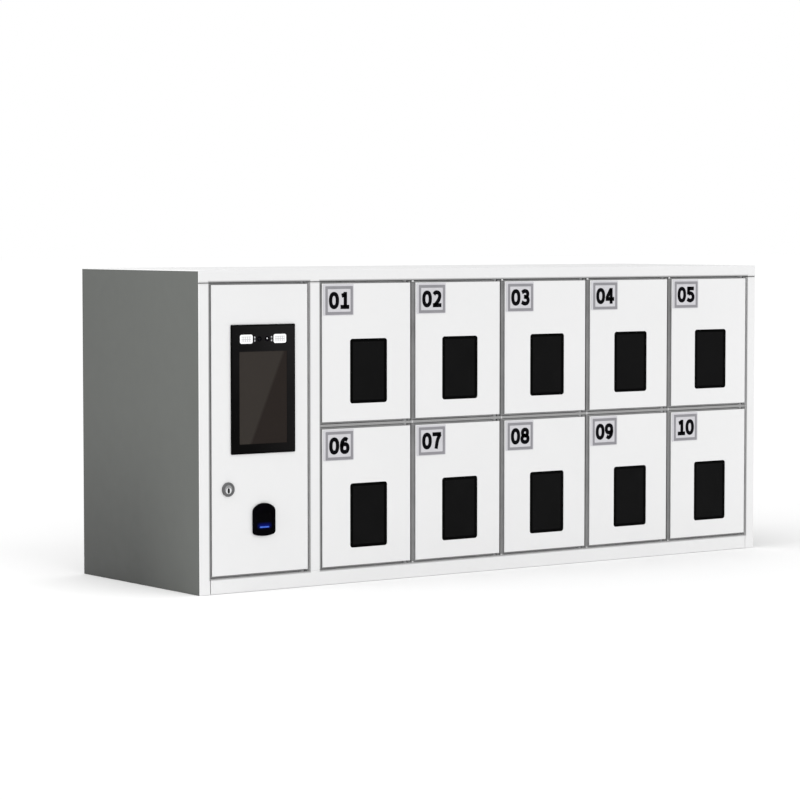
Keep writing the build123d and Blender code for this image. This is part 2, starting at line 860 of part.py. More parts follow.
def lock_wiring():
    """A lead along the wall from each latch case, a trunk for each row, and the bay's two leads."""
    wires = []
    lead_y0 = front + case_setback + case_length
    for row in (0, 1):
        for column in range(columns):
            x = wall_x(column) + lead_radius
            wires.append(rod_y(x, lead_y0, trunk_y - trunk_radius, lead_z(row), lead_radius))
        last = wall_x(columns - 1) + 2 * lead_radius
        wires.append(rod_x(board_x1, last, trunk_y, lead_z(row), trunk_radius))
    block_top = supply_top + supply_block_height
    lead_y = supply_y1 - supply_block_depth / 2
    wires.append(rod_z(supply_lead_x, lead_y, block_top, board_z0, lead_radius))
    inlet_low = inlet_z - inlet_height / 2 + seat_gap
    wires.append(rod_z(inlet_lead_x, lead_y, block_top, inlet_low, lead_radius))
    return wires


def case_screws():
    """Pan heads: the back panel's screws, and two for each latch case."""
    screws = []
    for x, z in rear_screw_spots:
        shank = rod_y(x, back_outer - screw_length, back_outer, z, screw_radius)
        screws.append(shank + rod_y(x, back_outer, back_outer + screw_head_height, z, screw_head_radius))
    for column in range(columns):
        x0 = wall_x(column)
        x1 = door_left(column) + striker_left + striker_width + case_past_striker
        for row in (0, 1):
            for y, z in case_screw_spots(row):
                shank = rod_x(x0 - sheet - case_screw_tip, x1, y, z, case_screw_radius)
                screws.append(shank + rod_x(x1, x1 + case_screw_head_height, y, z, case_screw_head_radius))
    return screws


# ---------------------------------------------------------------- nodes

os.makedirs("parts", exist_ok=True)

save("top_panel", top_panel())
save("left_side_panel", side_panel(-1))
save("right_side_panel", side_panel(1))
save("bottom_panel", bottom_panel())
save("floor_panel", floor_panel())
save("back_panel", back_panel())
save("side_posts", side_post(-1), side_post(1))
save("centre_post", centre_post())
save("centre_partition", centre_partition())
save("column_dividers", *[divider(column, row) for column in range(columns - 1) for row in (0, 1)])
save("mid_shelf", mid_shelf())
save("hinge_pins", *hinge_pins())
save("latch_cases", *[latch_case(column, row) for row in (0, 1) for column in range(columns)])
save("control_board", *control_board())
save("power_supply", *power_supply())
save("power_inlet", power_inlet())
save("lock_wiring", *lock_wiring())
save("case_screws", *case_screws())

save("control_door", control_door())
save("terminal_housing", terminal_housing())
save("terminal_bezel", terminal_bezel())
save("terminal_display", terminal_display())
save("terminal_lamps", *terminal_lamps())
save("terminal_cameras", *terminal_cameras())
save("terminal_circuit", terminal_circuit())
save("fingerprint_housing", fingerprint_housing())
save("fingerprint_window", fingerprint_window())
save("lock_housing", lock_housing(), lock_nut())
save("lock_plug", lock_plug())
save("lock_cam", lock_cam(), cam_screw())

for row in (0, 1):
    for column in range(columns):
        number = f"{row * columns + column + 1:02d}"
        save(f"door_{number}", phone_door(column, row), number_plate(column, row))
        save(f"window_{number}", window(column, row))
        save(f"latch_bolt_{number}", latch_bolt(column, row))
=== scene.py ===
"""Looks of the cell phone locker box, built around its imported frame. Metres, in the CAD's own frame."""
import math

import bmesh
import bpy
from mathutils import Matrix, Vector


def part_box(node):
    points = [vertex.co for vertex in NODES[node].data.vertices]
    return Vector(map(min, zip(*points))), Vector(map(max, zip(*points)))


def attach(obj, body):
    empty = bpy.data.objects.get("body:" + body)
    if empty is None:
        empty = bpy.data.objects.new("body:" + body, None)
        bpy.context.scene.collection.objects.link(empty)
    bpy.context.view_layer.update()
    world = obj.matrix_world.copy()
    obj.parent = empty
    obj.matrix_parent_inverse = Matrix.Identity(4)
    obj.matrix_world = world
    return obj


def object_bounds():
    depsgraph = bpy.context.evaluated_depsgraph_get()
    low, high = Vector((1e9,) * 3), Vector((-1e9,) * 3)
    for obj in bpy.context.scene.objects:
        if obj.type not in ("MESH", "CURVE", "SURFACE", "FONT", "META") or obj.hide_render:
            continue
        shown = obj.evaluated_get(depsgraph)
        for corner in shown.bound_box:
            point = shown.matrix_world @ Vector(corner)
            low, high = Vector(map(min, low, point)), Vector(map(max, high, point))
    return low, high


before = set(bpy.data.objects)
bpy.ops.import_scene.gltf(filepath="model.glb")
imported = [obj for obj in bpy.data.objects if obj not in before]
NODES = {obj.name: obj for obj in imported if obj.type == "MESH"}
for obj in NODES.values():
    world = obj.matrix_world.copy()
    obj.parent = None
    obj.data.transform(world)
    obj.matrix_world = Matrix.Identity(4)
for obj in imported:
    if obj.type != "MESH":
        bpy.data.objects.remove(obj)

CAD_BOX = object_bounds()
MM = 0.001

# ------------------------------------------------------------------ places, in metres
FRONT = -0.150                       # the cabinet's and the doors' front faces
PLATE_FRONT = FRONT - 0.6 * MM       # number plates
PRINT = 0.12 * MM                    # thickness of printed ink and foil
HEM_FACE = FRONT + 2.0 * MM          # front edges of the dividers and the shelf
HEM_BACK = HEM_FACE + 13.0 * MM      # how far back their front hems reach
DOOR_GAP = Vector((3.0, 0.0, 3.0)) * MM        # between a door and the edges of its opening
LAMP_WIDTH = 20.0 * MM               # each of the terminal's two lamp panes
DOORS = [f"{n:02d}" for n in range(1, 11)]


# ------------------------------------------------------------------ materials
class Finish:
    """A material around one Principled shader, with short calls for the nodes it needs."""

    def __init__(self, name, colour, roughness, **sockets):
        self.material = bpy.data.materials.new(name)
        self.material.use_nodes = True
        tree = self.material.node_tree
        self.nodes, self.links = tree.nodes, tree.links
        self.shader = self.nodes["Principled BSDF"]
        self.shader.inputs["Base Color"].default_value = (*colour, 1.0)
        self.shader.inputs["Roughness"].default_value = roughness
        for socket, value in sockets.items():
            self.shader.inputs[socket.replace("_", " ")].default_value = value
        self.place = self.node("TexCoord").outputs["Object"]
        self.normal = None

    def node(self, kind, inputs=(), **settings):
        made = self.nodes.new("ShaderNode" + kind)
        for key, value in settings.items():
            setattr(made, key, value)
        for key, value in dict(inputs).items():
            if isinstance(value, bpy.types.NodeSocket):
                self.links.new(value, made.inputs[key])
            else:
                made.inputs[key].default_value = value
        return made

    def noise(self, scale, detail=2.0, stretch=(1.0, 1.0, 1.0)):
        """Soft noise with scale cells in a metre. A stretch below 1 draws it out along that axis."""
        place = self.node("Mapping", {"Vector": self.place, "Scale": stretch}).outputs[0]
        return self.node("TexNoise", {"Vector": place, "Scale": scale, "Detail": detail}).outputs[0]

    def spread(self, value, low, high, start=0.3, end=0.7, **settings):
        """Goes from low to high while value goes from start to end, and stays there beyond them."""
        inputs = {"Value": value, "From Min": start, "From Max": end, "To Min": low, "To Max": high}
        return self.node("MapRange", inputs, **settings).outputs[0]

    def blend(self, factor, first, second):
        """The colour first where factor is 0, and second where it is 1."""
        mix = self.node("Mix", data_type="RGBA")
        for key, value in ((0, factor), (6, first), (7, second)):
            if isinstance(value, bpy.types.NodeSocket):
                self.links.new(value, mix.inputs[key])
            else:
                mix.inputs[key].default_value = (*value, 1.0) if key else value
        return mix.outputs[2]

    def math(self, operation, *values):
        return self.node("Math", dict(enumerate(values)), operation=operation).outputs[0]

    def axes(self):
        return self.node("SeparateXYZ", {0: self.place}).outputs

    def wave(self, value, pitch):
        """Goes from 1 to -1 and back once in every pitch."""
        return self.math("COSINE", self.math("MULTIPLY", value, 2 * math.pi / pitch))

    def away(self, value, middle):
        """How far value is from middle, either way."""
        return self.math("ABSOLUTE", self.math("SUBTRACT", value, middle))

    def inset(self, value, low, high):
        """How far value is inside the range from low to high, and below zero outside it."""
        return self.math("MINIMUM", self.math("SUBTRACT", value, low), self.math("SUBTRACT", high, value))

    def colour(self, value):
        self.links.new(value, self.shader.inputs["Base Color"])

    def glow(self, value):
        self.links.new(value, self.shader.inputs["Emission Color"])

    def rough(self, value):
        self.links.new(value, self.shader.inputs["Roughness"])

    def relief(self, height, strength, distance):
        """Bumps added over those that the material already has."""
        inputs = {"Height": height, "Strength": strength, "Distance": distance}
        if self.normal is not None:
            inputs["Normal"] = self.normal
        self.normal = self.node("Bump", inputs).outputs[0]
        self.links.new(self.normal, self.shader.inputs["Normal"])


BLACK = (0.0, 0.0, 0.0)
WHITE = (0.755, 0.755, 0.757)
# Grey standing in for the shade on the white side walls: painted shade, which the back panel wears too
SHADE_GREY = (0.0866, 0.0922, 0.0848)
ALUMINIUM = (0.68, 0.69, 0.70)


def shade(colour, factor):
    return tuple(c * factor for c in colour)


def painted_side_shade(finish, paint, foot_shade_colour):
    """Painted shade on the side walls: deeper towards the foot and the back, and darker along their folded
    edges.
    """
    _, y, z = finish.axes()
    # painted shade, deepening towards the lower rear
    down = finish.spread(z, 0.0, 1.0, 0.26, -0.04, interpolation_type="SMOOTHSTEP")
    back = finish.spread(y, 0.0, 1.0, FRONT + 0.016, 0.005)
    paint = finish.blend(finish.math("MULTIPLY", down, back), paint, foot_shade_colour)
    # painted shade, darker towards the back
    paint = finish.blend(finish.spread(y, 0.0, 0.16, -0.10, 0.15), paint, BLACK)
    # painted shade along the folded front, back and top edges
    from_top = finish.math("SUBTRACT", CAD_BOX[1].z, z)
    from_edge = finish.math("MINIMUM", finish.inset(y, FRONT, -FRONT), from_top)
    return finish.blend(finish.spread(from_edge, 0.24, 0.0, 0.6 * MM, 3.2 * MM), paint, BLACK)


def painted_opening_shade(finish, paint, low, high):
    """Painted shade on the front where its folds turn in round an opening, and faintly along the top rail's
    foot.
    """
    x, y, z = finish.axes()
    # painted shade beside and above the opening
    beside = finish.spread(finish.inset(x, low.x, high.x), 0.72, 0.0, -0.5 * MM, -2.3 * MM)
    above = finish.spread(finish.inset(z, low.z, high.z), 0.72, 0.0, -0.5 * MM, -3.0 * MM)
    # painted shade spreading from the joint along the top rail's foot
    joint = finish.spread(finish.away(z, high.z - 0.4 * MM), 0.13, 0.0, 0.5 * MM, 3.0 * MM)
    dark = finish.math("MAXIMUM", finish.math("MINIMUM", beside, above), joint)
    skin = finish.spread(y, 1.0, 0.0, FRONT + 0.3 * MM, FRONT + 1.2 * MM)
    return finish.blend(finish.math("MULTIPLY", dark, skin), paint, BLACK)


def powder_coat(name, colour, gloss=0.4, foot=None, openings=()):
    """Baked powder paint: a soft orange peel, a fine grain and a barely uneven tone.

    foot is the share of its tone that a side wall keeps at its foot. openings are rectangles of the
    front, each given by two corners."""
    finish = Finish(name, colour, 0.42, Specular_IOR_Level=gloss)
    tone = finish.spread(finish.noise(7.0, 3.0), 0.0, 1.0)
    paint = finish.blend(tone, shade(colour, 0.985), colour)
    # painted shade on the side walls, deeper at the foot and the back
    if foot:
        paint = painted_side_shade(finish, paint, shade(colour, foot))
    # painted shade round each opening's folds
    for low, high in openings:
        paint = painted_opening_shade(finish, paint, low, high)
    finish.colour(paint)
    finish.rough(finish.spread(finish.noise(55.0, 3.0), 0.41, 0.46))
    finish.relief(finish.noise(380.0, 1.0), 0.10, 0.3 * MM)
    finish.relief(finish.noise(1900.0, 2.0), 0.08, 0.08 * MM)
    return finish


def moulded(name, colour, roughness):
    """Spark-eroded moulded plastic."""
    finish = Finish(name, colour, roughness, Specular_IOR_Level=0.45)
    tone = finish.spread(finish.noise(30.0, 3.0), 0.0, 1.0)
    finish.colour(finish.blend(tone, shade(colour, 0.85), shade(colour, 1.1)))
    finish.rough(finish.spread(finish.noise(90.0, 2.0), roughness - 0.05, roughness + 0.07))
    finish.relief(finish.noise(2600.0, 2.0), 0.25, 0.06 * MM)
    return finish


def metal(name, colour, roughness, stretch):
    """Rolled or drawn metal with fine lines along one axis."""
    finish = Finish(name, colour, roughness, Metallic=1.0)
    lines = finish.noise(900.0, 3.0, stretch)
    cloud = finish.spread(finish.noise(45.0, 3.0), 0.0, 1.0)
    finish.colour(finish.blend(cloud, shade(colour, 0.86), colour))
    finish.rough(finish.spread(lines, roughness - 0.08, roughness + 0.10))
    finish.relief(lines, 0.15, 0.05 * MM)
    return finish


control_low, control_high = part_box("control_door")
CONTROL_OPENING = (control_low - DOOR_GAP, control_high + DOOR_GAP)
BANK_OPENING = (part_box("door_06")[0] - DOOR_GAP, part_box("door_05")[1] + DOOR_GAP)

white_paint = powder_coat("white_powder_coat", WHITE)
# The front frame's paint, with painted shade round the control door's and the doors' openings
frame_paint = powder_coat("front_frame_coat", WHITE, openings=(CONTROL_OPENING, BANK_OPENING))
# The side walls and the back in the shade grey: painted shade
shade_grey_paint = powder_coat("shade_grey_powder_coat", SHADE_GREY, foot=0.46)
# A slightly darker copy of the white for the top face: painted shade, with a lower gloss
shaded_top_paint = powder_coat("matt_shaded_top_coat", shade(WHITE, 0.97), gloss=0.04)
# Grey on the shelf's front hem: painted shade for the recess between the doors
shelf_edge_shade = powder_coat("shelf_edge_shade_coat", (0.30, 0.30, 0.30))
# Mid grey for the plates where the dividers cross the shelf: painted shade, as the like plates at the rail
# and floor are white
crossing_shade_paint = powder_coat("crossing_shade_coat", (0.52, 0.52, 0.52))
# Dark grey on the dividers' front hems: painted shade for the recess between the doors
divider_edge_shade = moulded("divider_edge_shade_grey", (0.19, 0.19, 0.19), 0.6)
# Dark grey rubber for the seals round the doors: painted shade for the door gaps
gap_shade_rubber = moulded("gap_shade_seal_rubber", (0.24, 0.24, 0.242), 0.7)
hinge_steel = moulded("phosphated_steel", (0.25, 0.25, 0.255), 0.55)
zinc_steel = metal("zinc_plated_steel", (0.62, 0.63, 0.64), 0.38, (1.0, 1.0, 0.06))
latch_plastic = moulded("latch_plastic", (0.045, 0.045, 0.048), 0.5)
black_plastic = moulded("black_moulded_plastic", (0.018, 0.018, 0.02), 0.48)
supply_case = metal("supply_aluminium", ALUMINIUM, 0.42, (0.06, 1.0, 1.0))
relay_plastic = moulded("relay_plastic", (0.02, 0.075, 0.27), 0.4)
header_plastic = moulded("header_plastic", (0.62, 0.61, 0.57), 0.5)
cable_sheath = moulded("cable_sheath", (0.022, 0.022, 0.023), 0.55)


def punched_metal():
    """Aluminium sheet with rows of round punched holes, dark where they see inside."""
    finish = Finish("punched_aluminium", ALUMINIUM, 0.42, Metallic=1.0)
    x, y, _ = finish.axes()
    waves = finish.math("ADD", finish.wave(x, 6.0 * MM), finish.wave(y, 6.0 * MM))
    hole = finish.spread(waves, 0.0, 1.0, 0.95, 1.1)
    cloud = finish.blend(finish.noise(45.0, 3.0), (0.60, 0.61, 0.62), (0.70, 0.71, 0.72))
    finish.colour(finish.blend(hole, cloud, (0.006, 0.006, 0.006)))
    finish.rough(finish.spread(finish.noise(900.0, 3.0, (0.06, 1.0, 1.0)), 0.34, 0.52))
    finish.relief(hole, -0.5, 0.2 * MM)
    return finish


def circuit_green():
    """Solder mask over copper tracks, with tinned pads."""
    mask, track, pad = (0.012, 0.10, 0.045), (0.02, 0.17, 0.075), (0.55, 0.56, 0.55)
    finish = Finish("circuit_board", mask, 0.35)
    x, _, z = finish.axes()
    plane = finish.node("CombineXYZ", {0: x, 1: z}).outputs[0]
    brick = finish.node("TexBrick", {"Vector": plane, "Scale": 160.0, "Mortar Size": 0.08})
    tracks = finish.spread(brick.outputs["Fac"], 0.0, 1.0, 0.2, 0.8)
    cells = finish.node("TexVoronoi", {"Vector": plane, "Scale": 260.0}).outputs["Distance"]
    pads = finish.spread(cells, 1.0, 0.0, 0.12, 0.16)
    green = finish.blend(tracks, track, mask)
    finish.colour(finish.blend(pads, green, pad))
    finish.relief(tracks, 0.3, 0.05 * MM)
    return finish


# The whole pane of a door's window, and what shows of it in the door's cut-out
PANE_WIDTHS, PANE_HEIGHTS = (69.0 * MM, 58.6 * MM), (94.5 * MM, 85.9 * MM)


def smoked_acrylic():
    """A nearly black pane: darker at its rim as painted shade, with faint haze and hairline scratches."""
    finish = Finish("smoked_acrylic", (0.0050, 0.0050, 0.0051), 0.16, Specular_IOR_Level=0.022)
    place = finish.node("TexCoord").outputs["Generated"]
    x, _, z = finish.node("SeparateXYZ", {0: place}).outputs
    edges = []
    for share, whole, seen in ((x, *PANE_WIDTHS), (z, *PANE_HEIGHTS)):
        from_middle = finish.math("MULTIPLY", finish.away(share, 0.5), whole)
        edges.append(finish.math("SUBTRACT", seen / 2, from_middle))
    # painted shade along the rim of what shows through the door's cut-out
    rim = finish.spread(finish.math("MINIMUM", *edges), 1.0, 0.0, 3.2 * MM, 4.4 * MM)
    haze = finish.spread(finish.noise(25.0, 4.0), 0.0, 1.0)
    face = finish.blend(haze, (0.0048, 0.0048, 0.0049), (0.0058, 0.0058, 0.0059))
    finish.colour(finish.blend(rim, face, (0.0003, 0.0003, 0.0003)))
    finish.rough(finish.spread(finish.noise(140.0, 3.0, (1.0, 1.0, 0.12)), 0.12, 0.22))
    return finish


def bezel_black(low, high):
    """Back-printed black glass with a painted sheen, lighter towards its upper right corner, and painted
    shade along its rim.
    """
    finish = Finish("bezel_black_glass", (0.004, 0.004, 0.004), 0.12, Specular_IOR_Level=0.03)
    x, _, z = finish.axes()
    # painted sheen, lighter towards the upper right, with a random haze
    across = finish.spread(x, 0.0, 0.55, low.x, high.x)
    up = finish.spread(z, 0.0, 0.45, low.z, high.z)
    haze = finish.spread(finish.noise(14.0, 3.0), -0.1, 0.1)
    painted_light_and_haze = finish.math("ADD", finish.math("ADD", across, up), haze)
    # painted shade along the rim
    from_edge = finish.math("MINIMUM", finish.inset(x, low.x, high.x), finish.inset(z, low.z, high.z))
    painted_light_and_haze = finish.math("MULTIPLY", painted_light_and_haze, finish.spread(from_edge, 0.0, 1.0, 1.2 * MM, 2.6 * MM))
    finish.colour(finish.blend(painted_light_and_haze, (0.0006, 0.0005, 0.0005), (0.0125, 0.0119, 0.0122)))
    finish.rough(finish.spread(finish.noise(160.0, 3.0), 0.09, 0.17))
    return finish


def reader_shell():
    """Deep black gloss with a faint violet cast in soft patches."""
    finish = Finish("reader_shell_gloss", (0.0006, 0.0006, 0.0008), 0.14, Specular_IOR_Level=0.012)
    haze = finish.spread(finish.noise(60.0, 3.0), 0.0, 1.0)
    finish.colour(finish.blend(haze, (0.0004, 0.0004, 0.0006), (0.0016, 0.0012, 0.0024)))
    finish.rough(finish.spread(finish.noise(240.0, 3.0), 0.10, 0.20))
    return finish


def display_glass(low, high):
    """A switched-off display: warm grey, with a painted reflection that makes its upper left part lighter
    beyond a slanting edge.
    """
    # light is the colour of the painted reflection, dark the glass's own
    light, dark = (0.0318, 0.0268, 0.0232), (0.0172, 0.0128, 0.0108)
    finish = Finish("display_glass", dark, 0.14, Specular_IOR_Level=0.07)
    x, _, z = finish.axes()
    u = finish.spread(x, 0.0, 1.0, low.x, high.x)
    v = finish.spread(z, 0.0, 1.0, low.z, high.z)
    edge = finish.math("SUBTRACT", finish.math("MULTIPLY_ADD", v, 0.68, 0.24), u)
    side = finish.spread(edge, 0.0, 1.0, -0.03, 0.03)
    rows = finish.node("TexWave", {"Vector": finish.place, "Scale": 420.0}, bands_direction="Z").outputs[1]
    finish.colour(finish.blend(side, dark, light))
    finish.rough(finish.spread(finish.noise(120.0, 3.0), 0.10, 0.18))
    finish.relief(rows, 0.02, 0.02 * MM)
    return finish


def lamp_diffuser(low, high):
    """Opal panes at both ends of the box from low to high, with the grid of their LEDs showing through."""
    finish = Finish("lamp_diffuser", (0.93, 0.93, 0.93), 0.35, Emission_Strength=0.10)
    x, _, z = finish.axes()
    grid = finish.math("MAXIMUM", finish.wave(x, 3.4 * MM), finish.wave(z, 3.4 * MM))
    grid = finish.spread(grid, 0.35, 1.0, 0.2, 1.0)
    outer_x = finish.inset(x, low.x, high.x)
    pane_x = finish.math("MINIMUM", outer_x, finish.math("SUBTRACT", LAMP_WIDTH, outer_x))
    from_edge = finish.math("MINIMUM", pane_x, finish.inset(z, low.z, high.z))
    array = finish.math("MULTIPLY", grid, finish.spread(from_edge, 0.0, 1.0, 1.6 * MM, 3.0 * MM))
    finish.colour(finish.blend(array, (0.95, 0.95, 0.95), (0.50, 0.50, 0.51)))
    finish.glow(finish.blend(array, (1.0, 1.0, 1.0), (0.2, 0.2, 0.2)))
    return finish


def lens_glass():
    """Dark glass with a faint violet coating."""
    colour, tint = (0.0015, 0.0015, 0.003), (0.005, 0.004, 0.009)
    finish = Finish("lens_glass", colour, 0.06, Specular_IOR_Level=0.07)
    haze = finish.spread(finish.noise(220.0, 2.0), 0.0, 1.0)
    finish.colour(finish.blend(haze, colour, tint))
    finish.rough(finish.spread(finish.noise(300.0, 2.0), 0.04, 0.11))
    return finish


def sensor_pane(z_mid):
    """A small grey pane with a brighter diode at each end."""
    finish = Finish("sensor_window", (0.20, 0.20, 0.22), 0.2, Specular_IOR_Level=0.35)
    _, _, z = finish.axes()
    haze = finish.spread(finish.noise(300.0, 2.0), -0.15, 0.15)
    bright = finish.math("ADD", finish.spread(finish.away(z, z_mid), 0.0, 1.0, 0.5 * MM, 2.4 * MM), haze)
    finish.colour(finish.blend(bright, (0.07, 0.07, 0.075), (0.58, 0.58, 0.60)))
    finish.rough(finish.spread(finish.noise(300.0, 2.0), 0.15, 0.3))
    return finish


def turned_nickel(name, x, z, colour, roughness):
    """Nickel plating over turned zinc: rings about the lock's own axis."""
    finish = Finish(name, colour, roughness, Metallic=1.0)
    centre = finish.node("VectorMath", {0: finish.place, 1: (x, 0.0, z)}, operation="SUBTRACT").outputs[0]
    px, _, pz = finish.node("SeparateXYZ", {0: centre}).outputs
    flat = finish.node("CombineXYZ", {0: px, 1: pz}).outputs[0]
    radius = finish.node("VectorMath", {0: flat}, operation="LENGTH").outputs["Value"]
    rings = finish.math("SINE", finish.math("MULTIPLY", radius, 2 * math.pi / (0.45 * MM)))
    wear = finish.spread(finish.noise(260.0, 4.0), 0.0, 1.0)
    finish.colour(finish.blend(wear, shade(colour, 0.78), colour))
    finish.rough(finish.spread(finish.noise(700.0, 3.0), roughness - 0.06, roughness + 0.1))
    finish.relief(rings, 0.12, 0.03 * MM)
    return finish


def foil(name, colour, roughness):
    """Brushed silver print of the number plates."""
    finish = Finish(name, colour, roughness, Specular_IOR_Level=0.4)
    lines = finish.noise(1500.0, 2.0, (0.05, 1.0, 1.0))
    tone = finish.spread(finish.noise(40.0, 3.0), 0.0, 1.0)
    finish.colour(finish.blend(tone, shade(colour, 0.95), shade(colour, 1.03)))
    finish.rough(finish.spread(lines, roughness - 0.06, roughness + 0.08))
    finish.relief(lines, 0.06, 0.03 * MM)
    return finish


def reader_glass(z_bar, x_mid):
    """The reader's dark window, lit blue from below where its light bar shines along it."""
    finish = Finish("reader_glass", (0.0006, 0.0005, 0.001), 0.10, Specular_IOR_Level=0.02,
                    Emission_Strength=0.48)
    x, _, z = finish.axes()
    up = finish.spread(finish.away(z, z_bar + 1.7 * MM), 1.0, 0.0, 0.0, 5.0 * MM)
    across = finish.spread(finish.away(x, x_mid), 1.0, 0.0, 6.5 * MM, 12.5 * MM)
    light = finish.math("POWER", finish.math("MULTIPLY", up, across), 1.3)
    finish.glow(finish.blend(light, BLACK, (0.003, 0.012, 0.30)))
    finish.rough(finish.spread(finish.noise(200.0, 3.0), 0.06, 0.14))
    return finish


def light_bar():
    """A blue light guide, a little uneven along its length."""
    finish = Finish("reader_light_bar", (0.034, 0.085, 0.34), 0.3, Specular_IOR_Level=0.2,
                    Emission_Strength=0.46)
    cells = finish.spread(finish.noise(500.0, 1.0), 0.0, 1.0)
    finish.glow(finish.blend(cells, (0.012, 0.075, 0.62), (0.085, 0.21, 0.92)))
    return finish


def bright_dot_finish():
    """A small pale dome with a slightly uneven tone."""
    finish = Finish("bright_dot_finish", (0.75, 0.75, 0.76), 0.2)
    haze = finish.spread(finish.noise(900.0, 2.0), 0.0, 1.0)
    finish.colour(finish.blend(haze, (0.68, 0.68, 0.70), (0.85, 0.85, 0.86)))
    finish.rough(finish.spread(finish.noise(600.0, 2.0), 0.15, 0.28))
    return finish


def ink():
    """Matt black printing ink."""
    finish = Finish("black_ink", (0.002, 0.002, 0.0028), 0.5, Specular_IOR_Level=0.03)
    tone = finish.spread(finish.noise(400.0, 2.0), 0.0, 1.0)
    finish.colour(finish.blend(tone, (0.0004, 0.0004, 0.0012), (0.0018, 0.0018, 0.0032)))
    finish.rough(finish.spread(finish.noise(900.0, 2.0), 0.42, 0.58))
    return finish


# ------------------------------------------------------------------ dressing the CAD nodes
def dress(node, *finishes, rule=None):
    """Gives a CAD node its finishes. rule picks the finish of a face from the face's middle."""
    mesh = NODES[node].data
    mesh.materials.clear()
    for finish in finishes:
        mesh.materials.append(finish.material)
    for face in mesh.polygons:
        face.material_index = rule(face.center) if rule else 0


reader_low, reader_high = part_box("fingerprint_window")
plug_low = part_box("lock_plug")[0]
rim_low, rim_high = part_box("lock_housing")
lamps_low, lamps_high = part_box("terminal_lamps")
LOCK_X = (rim_low.x + rim_high.x) / 2
LOCK_Z = (rim_low.z + rim_high.z) / 2
READER_X = (reader_low.x + reader_high.x) / 2
BAR_Z = reader_low.z + 3.1 * MM

acrylic = smoked_acrylic()
bezel = bezel_black(*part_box("terminal_bezel"))
reader_gloss = reader_shell()
circuit = circuit_green()
supply_grille = punched_metal()
display = display_glass(*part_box("terminal_display"))
lamp = lamp_diffuser(lamps_low, lamps_high)
lens = lens_glass()
sensor = sensor_pane((lamps_low.z + lamps_high.z) / 2)
nickel = turned_nickel("lock_nickel", LOCK_X, LOCK_Z, (0.155, 0.155, 0.158), 0.34)
plug_nickel = turned_nickel("plug_nickel", LOCK_X, LOCK_Z, (0.34, 0.34, 0.345), 0.30)
bright_nickel = turned_nickel("keyway_nickel", LOCK_X, LOCK_Z, (0.80, 0.81, 0.82), 0.30)
plate_foil = foil("number_plate_foil", (0.575, 0.568, 0.595), 0.45)
border_foil = foil("number_border_foil", (0.25, 0.246, 0.264), 0.42)
black_ink = ink()
bright_dot_white = bright_dot_finish()
reader_window = reader_glass(BAR_Z, READER_X)
reader_light = light_bar()

ONE_FINISH = {
    "bottom_panel": white_paint, "centre_partition": white_paint, "control_door": white_paint,
    "floor_panel": frame_paint, "side_posts": frame_paint, "centre_post": frame_paint,
    "left_side_panel": shade_grey_paint, "right_side_panel": shade_grey_paint, "back_panel": shade_grey_paint,
    "hinge_pins": hinge_steel, "case_screws": zinc_steel, "lock_cam": zinc_steel,
    "latch_cases": latch_plastic, "power_inlet": black_plastic, "terminal_housing": black_plastic,
    "lock_wiring": cable_sheath, "terminal_circuit": circuit, "terminal_bezel": bezel,
    "terminal_display": display, "terminal_cameras": lens, "fingerprint_window": reader_window,
    "lock_housing": nickel,
}
for name, finish in ONE_FINISH.items():
    dress(name, finish)
for door in DOORS:
    dress("door_" + door, white_paint, plate_foil, rule=lambda p: int(p.y < FRONT - 0.03 * MM))
    dress("window_" + door, acrylic)
    dress("latch_bolt_" + door, zinc_steel)

# The top face takes the darker copy of the white: painted shade
dress("top_panel", frame_paint, shaded_top_paint, rule=lambda p: int(p.z > CAD_BOX[1].z - 0.05 * MM))
# The dividers' front hems take the dark grey: painted shade
dress("column_dividers", white_paint, divider_edge_shade, rule=lambda p: int(p.y < HEM_BACK))
# The shelf's front hem takes the grey: painted shade
dress("mid_shelf", white_paint, shelf_edge_shade, rule=lambda p: int(p.y < HEM_BACK))
dress("fingerprint_housing", reader_gloss, black_plastic, rule=lambda p: int(p.y > FRONT + 0.2 * MM))


def in_keyway(p):
    """Whether a face of the plug lies inside its key slot."""
    width, height = 2.3 * MM, 14.0 * MM            # a little more than the slot's own
    inside = abs(p.x - LOCK_X) < width / 2 and abs(p.z - LOCK_Z) < height / 2
    return inside and p.y > plug_low.y + 0.1 * MM


def in_sensor(p):
    """Whether a face of the terminal's small panes lies between the two lamps."""
    room = LAMP_WIDTH + 0.4 * MM
    return lamps_low.x + room < p.x < lamps_high.x - room


dress("lock_plug", plug_nickel, black_ink, rule=lambda p: int(in_keyway(p)))
dress("terminal_lamps", lamp, sensor, rule=lambda p: int(in_sensor(p)))

# The power supply: its case, the terminal block above it, and the grille in the case's top
supply_low, supply_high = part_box("power_supply")
CASE_TOP = supply_low.z + 35.0 * MM
dress("power_supply", supply_case, black_plastic, supply_grille,
      rule=lambda p: 1 if p.z > CASE_TOP + 0.2 * MM else 2 if p.z > CASE_TOP - 0.1 * MM else 0)

# The lock control board: the board, the parts in front of it, and the spacers behind it
board_low, board_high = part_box("control_board")
BOARD_BACK = board_high.y - 4.0 * MM
BOARD_FRONT = BOARD_BACK - 1.6 * MM
dress("control_board", circuit, black_plastic, zinc_steel,
      rule=lambda p: 1 if p.y < BOARD_FRONT - 0.1 * MM else 2 if p.y > BOARD_BACK + 0.1 * MM else 0)


# ------------------------------------------------------------------ pieces
def piece(name, bm, finish, body, smooth=False):
    """Turns a bmesh into a piece that rides on a body and takes its finish from a slot."""
    bmesh.ops.recalc_face_normals(bm, faces=bm.faces)
    mesh = bpy.data.meshes.new(name)
    bm.to_mesh(mesh)
    bm.free()
    for face in mesh.polygons:
        face.use_smooth = smooth
    mesh.materials.append(finish.material)
    made = bpy.data.objects.new(name, mesh)
    bpy.context.scene.collection.objects.link(made)
    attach(made, body)


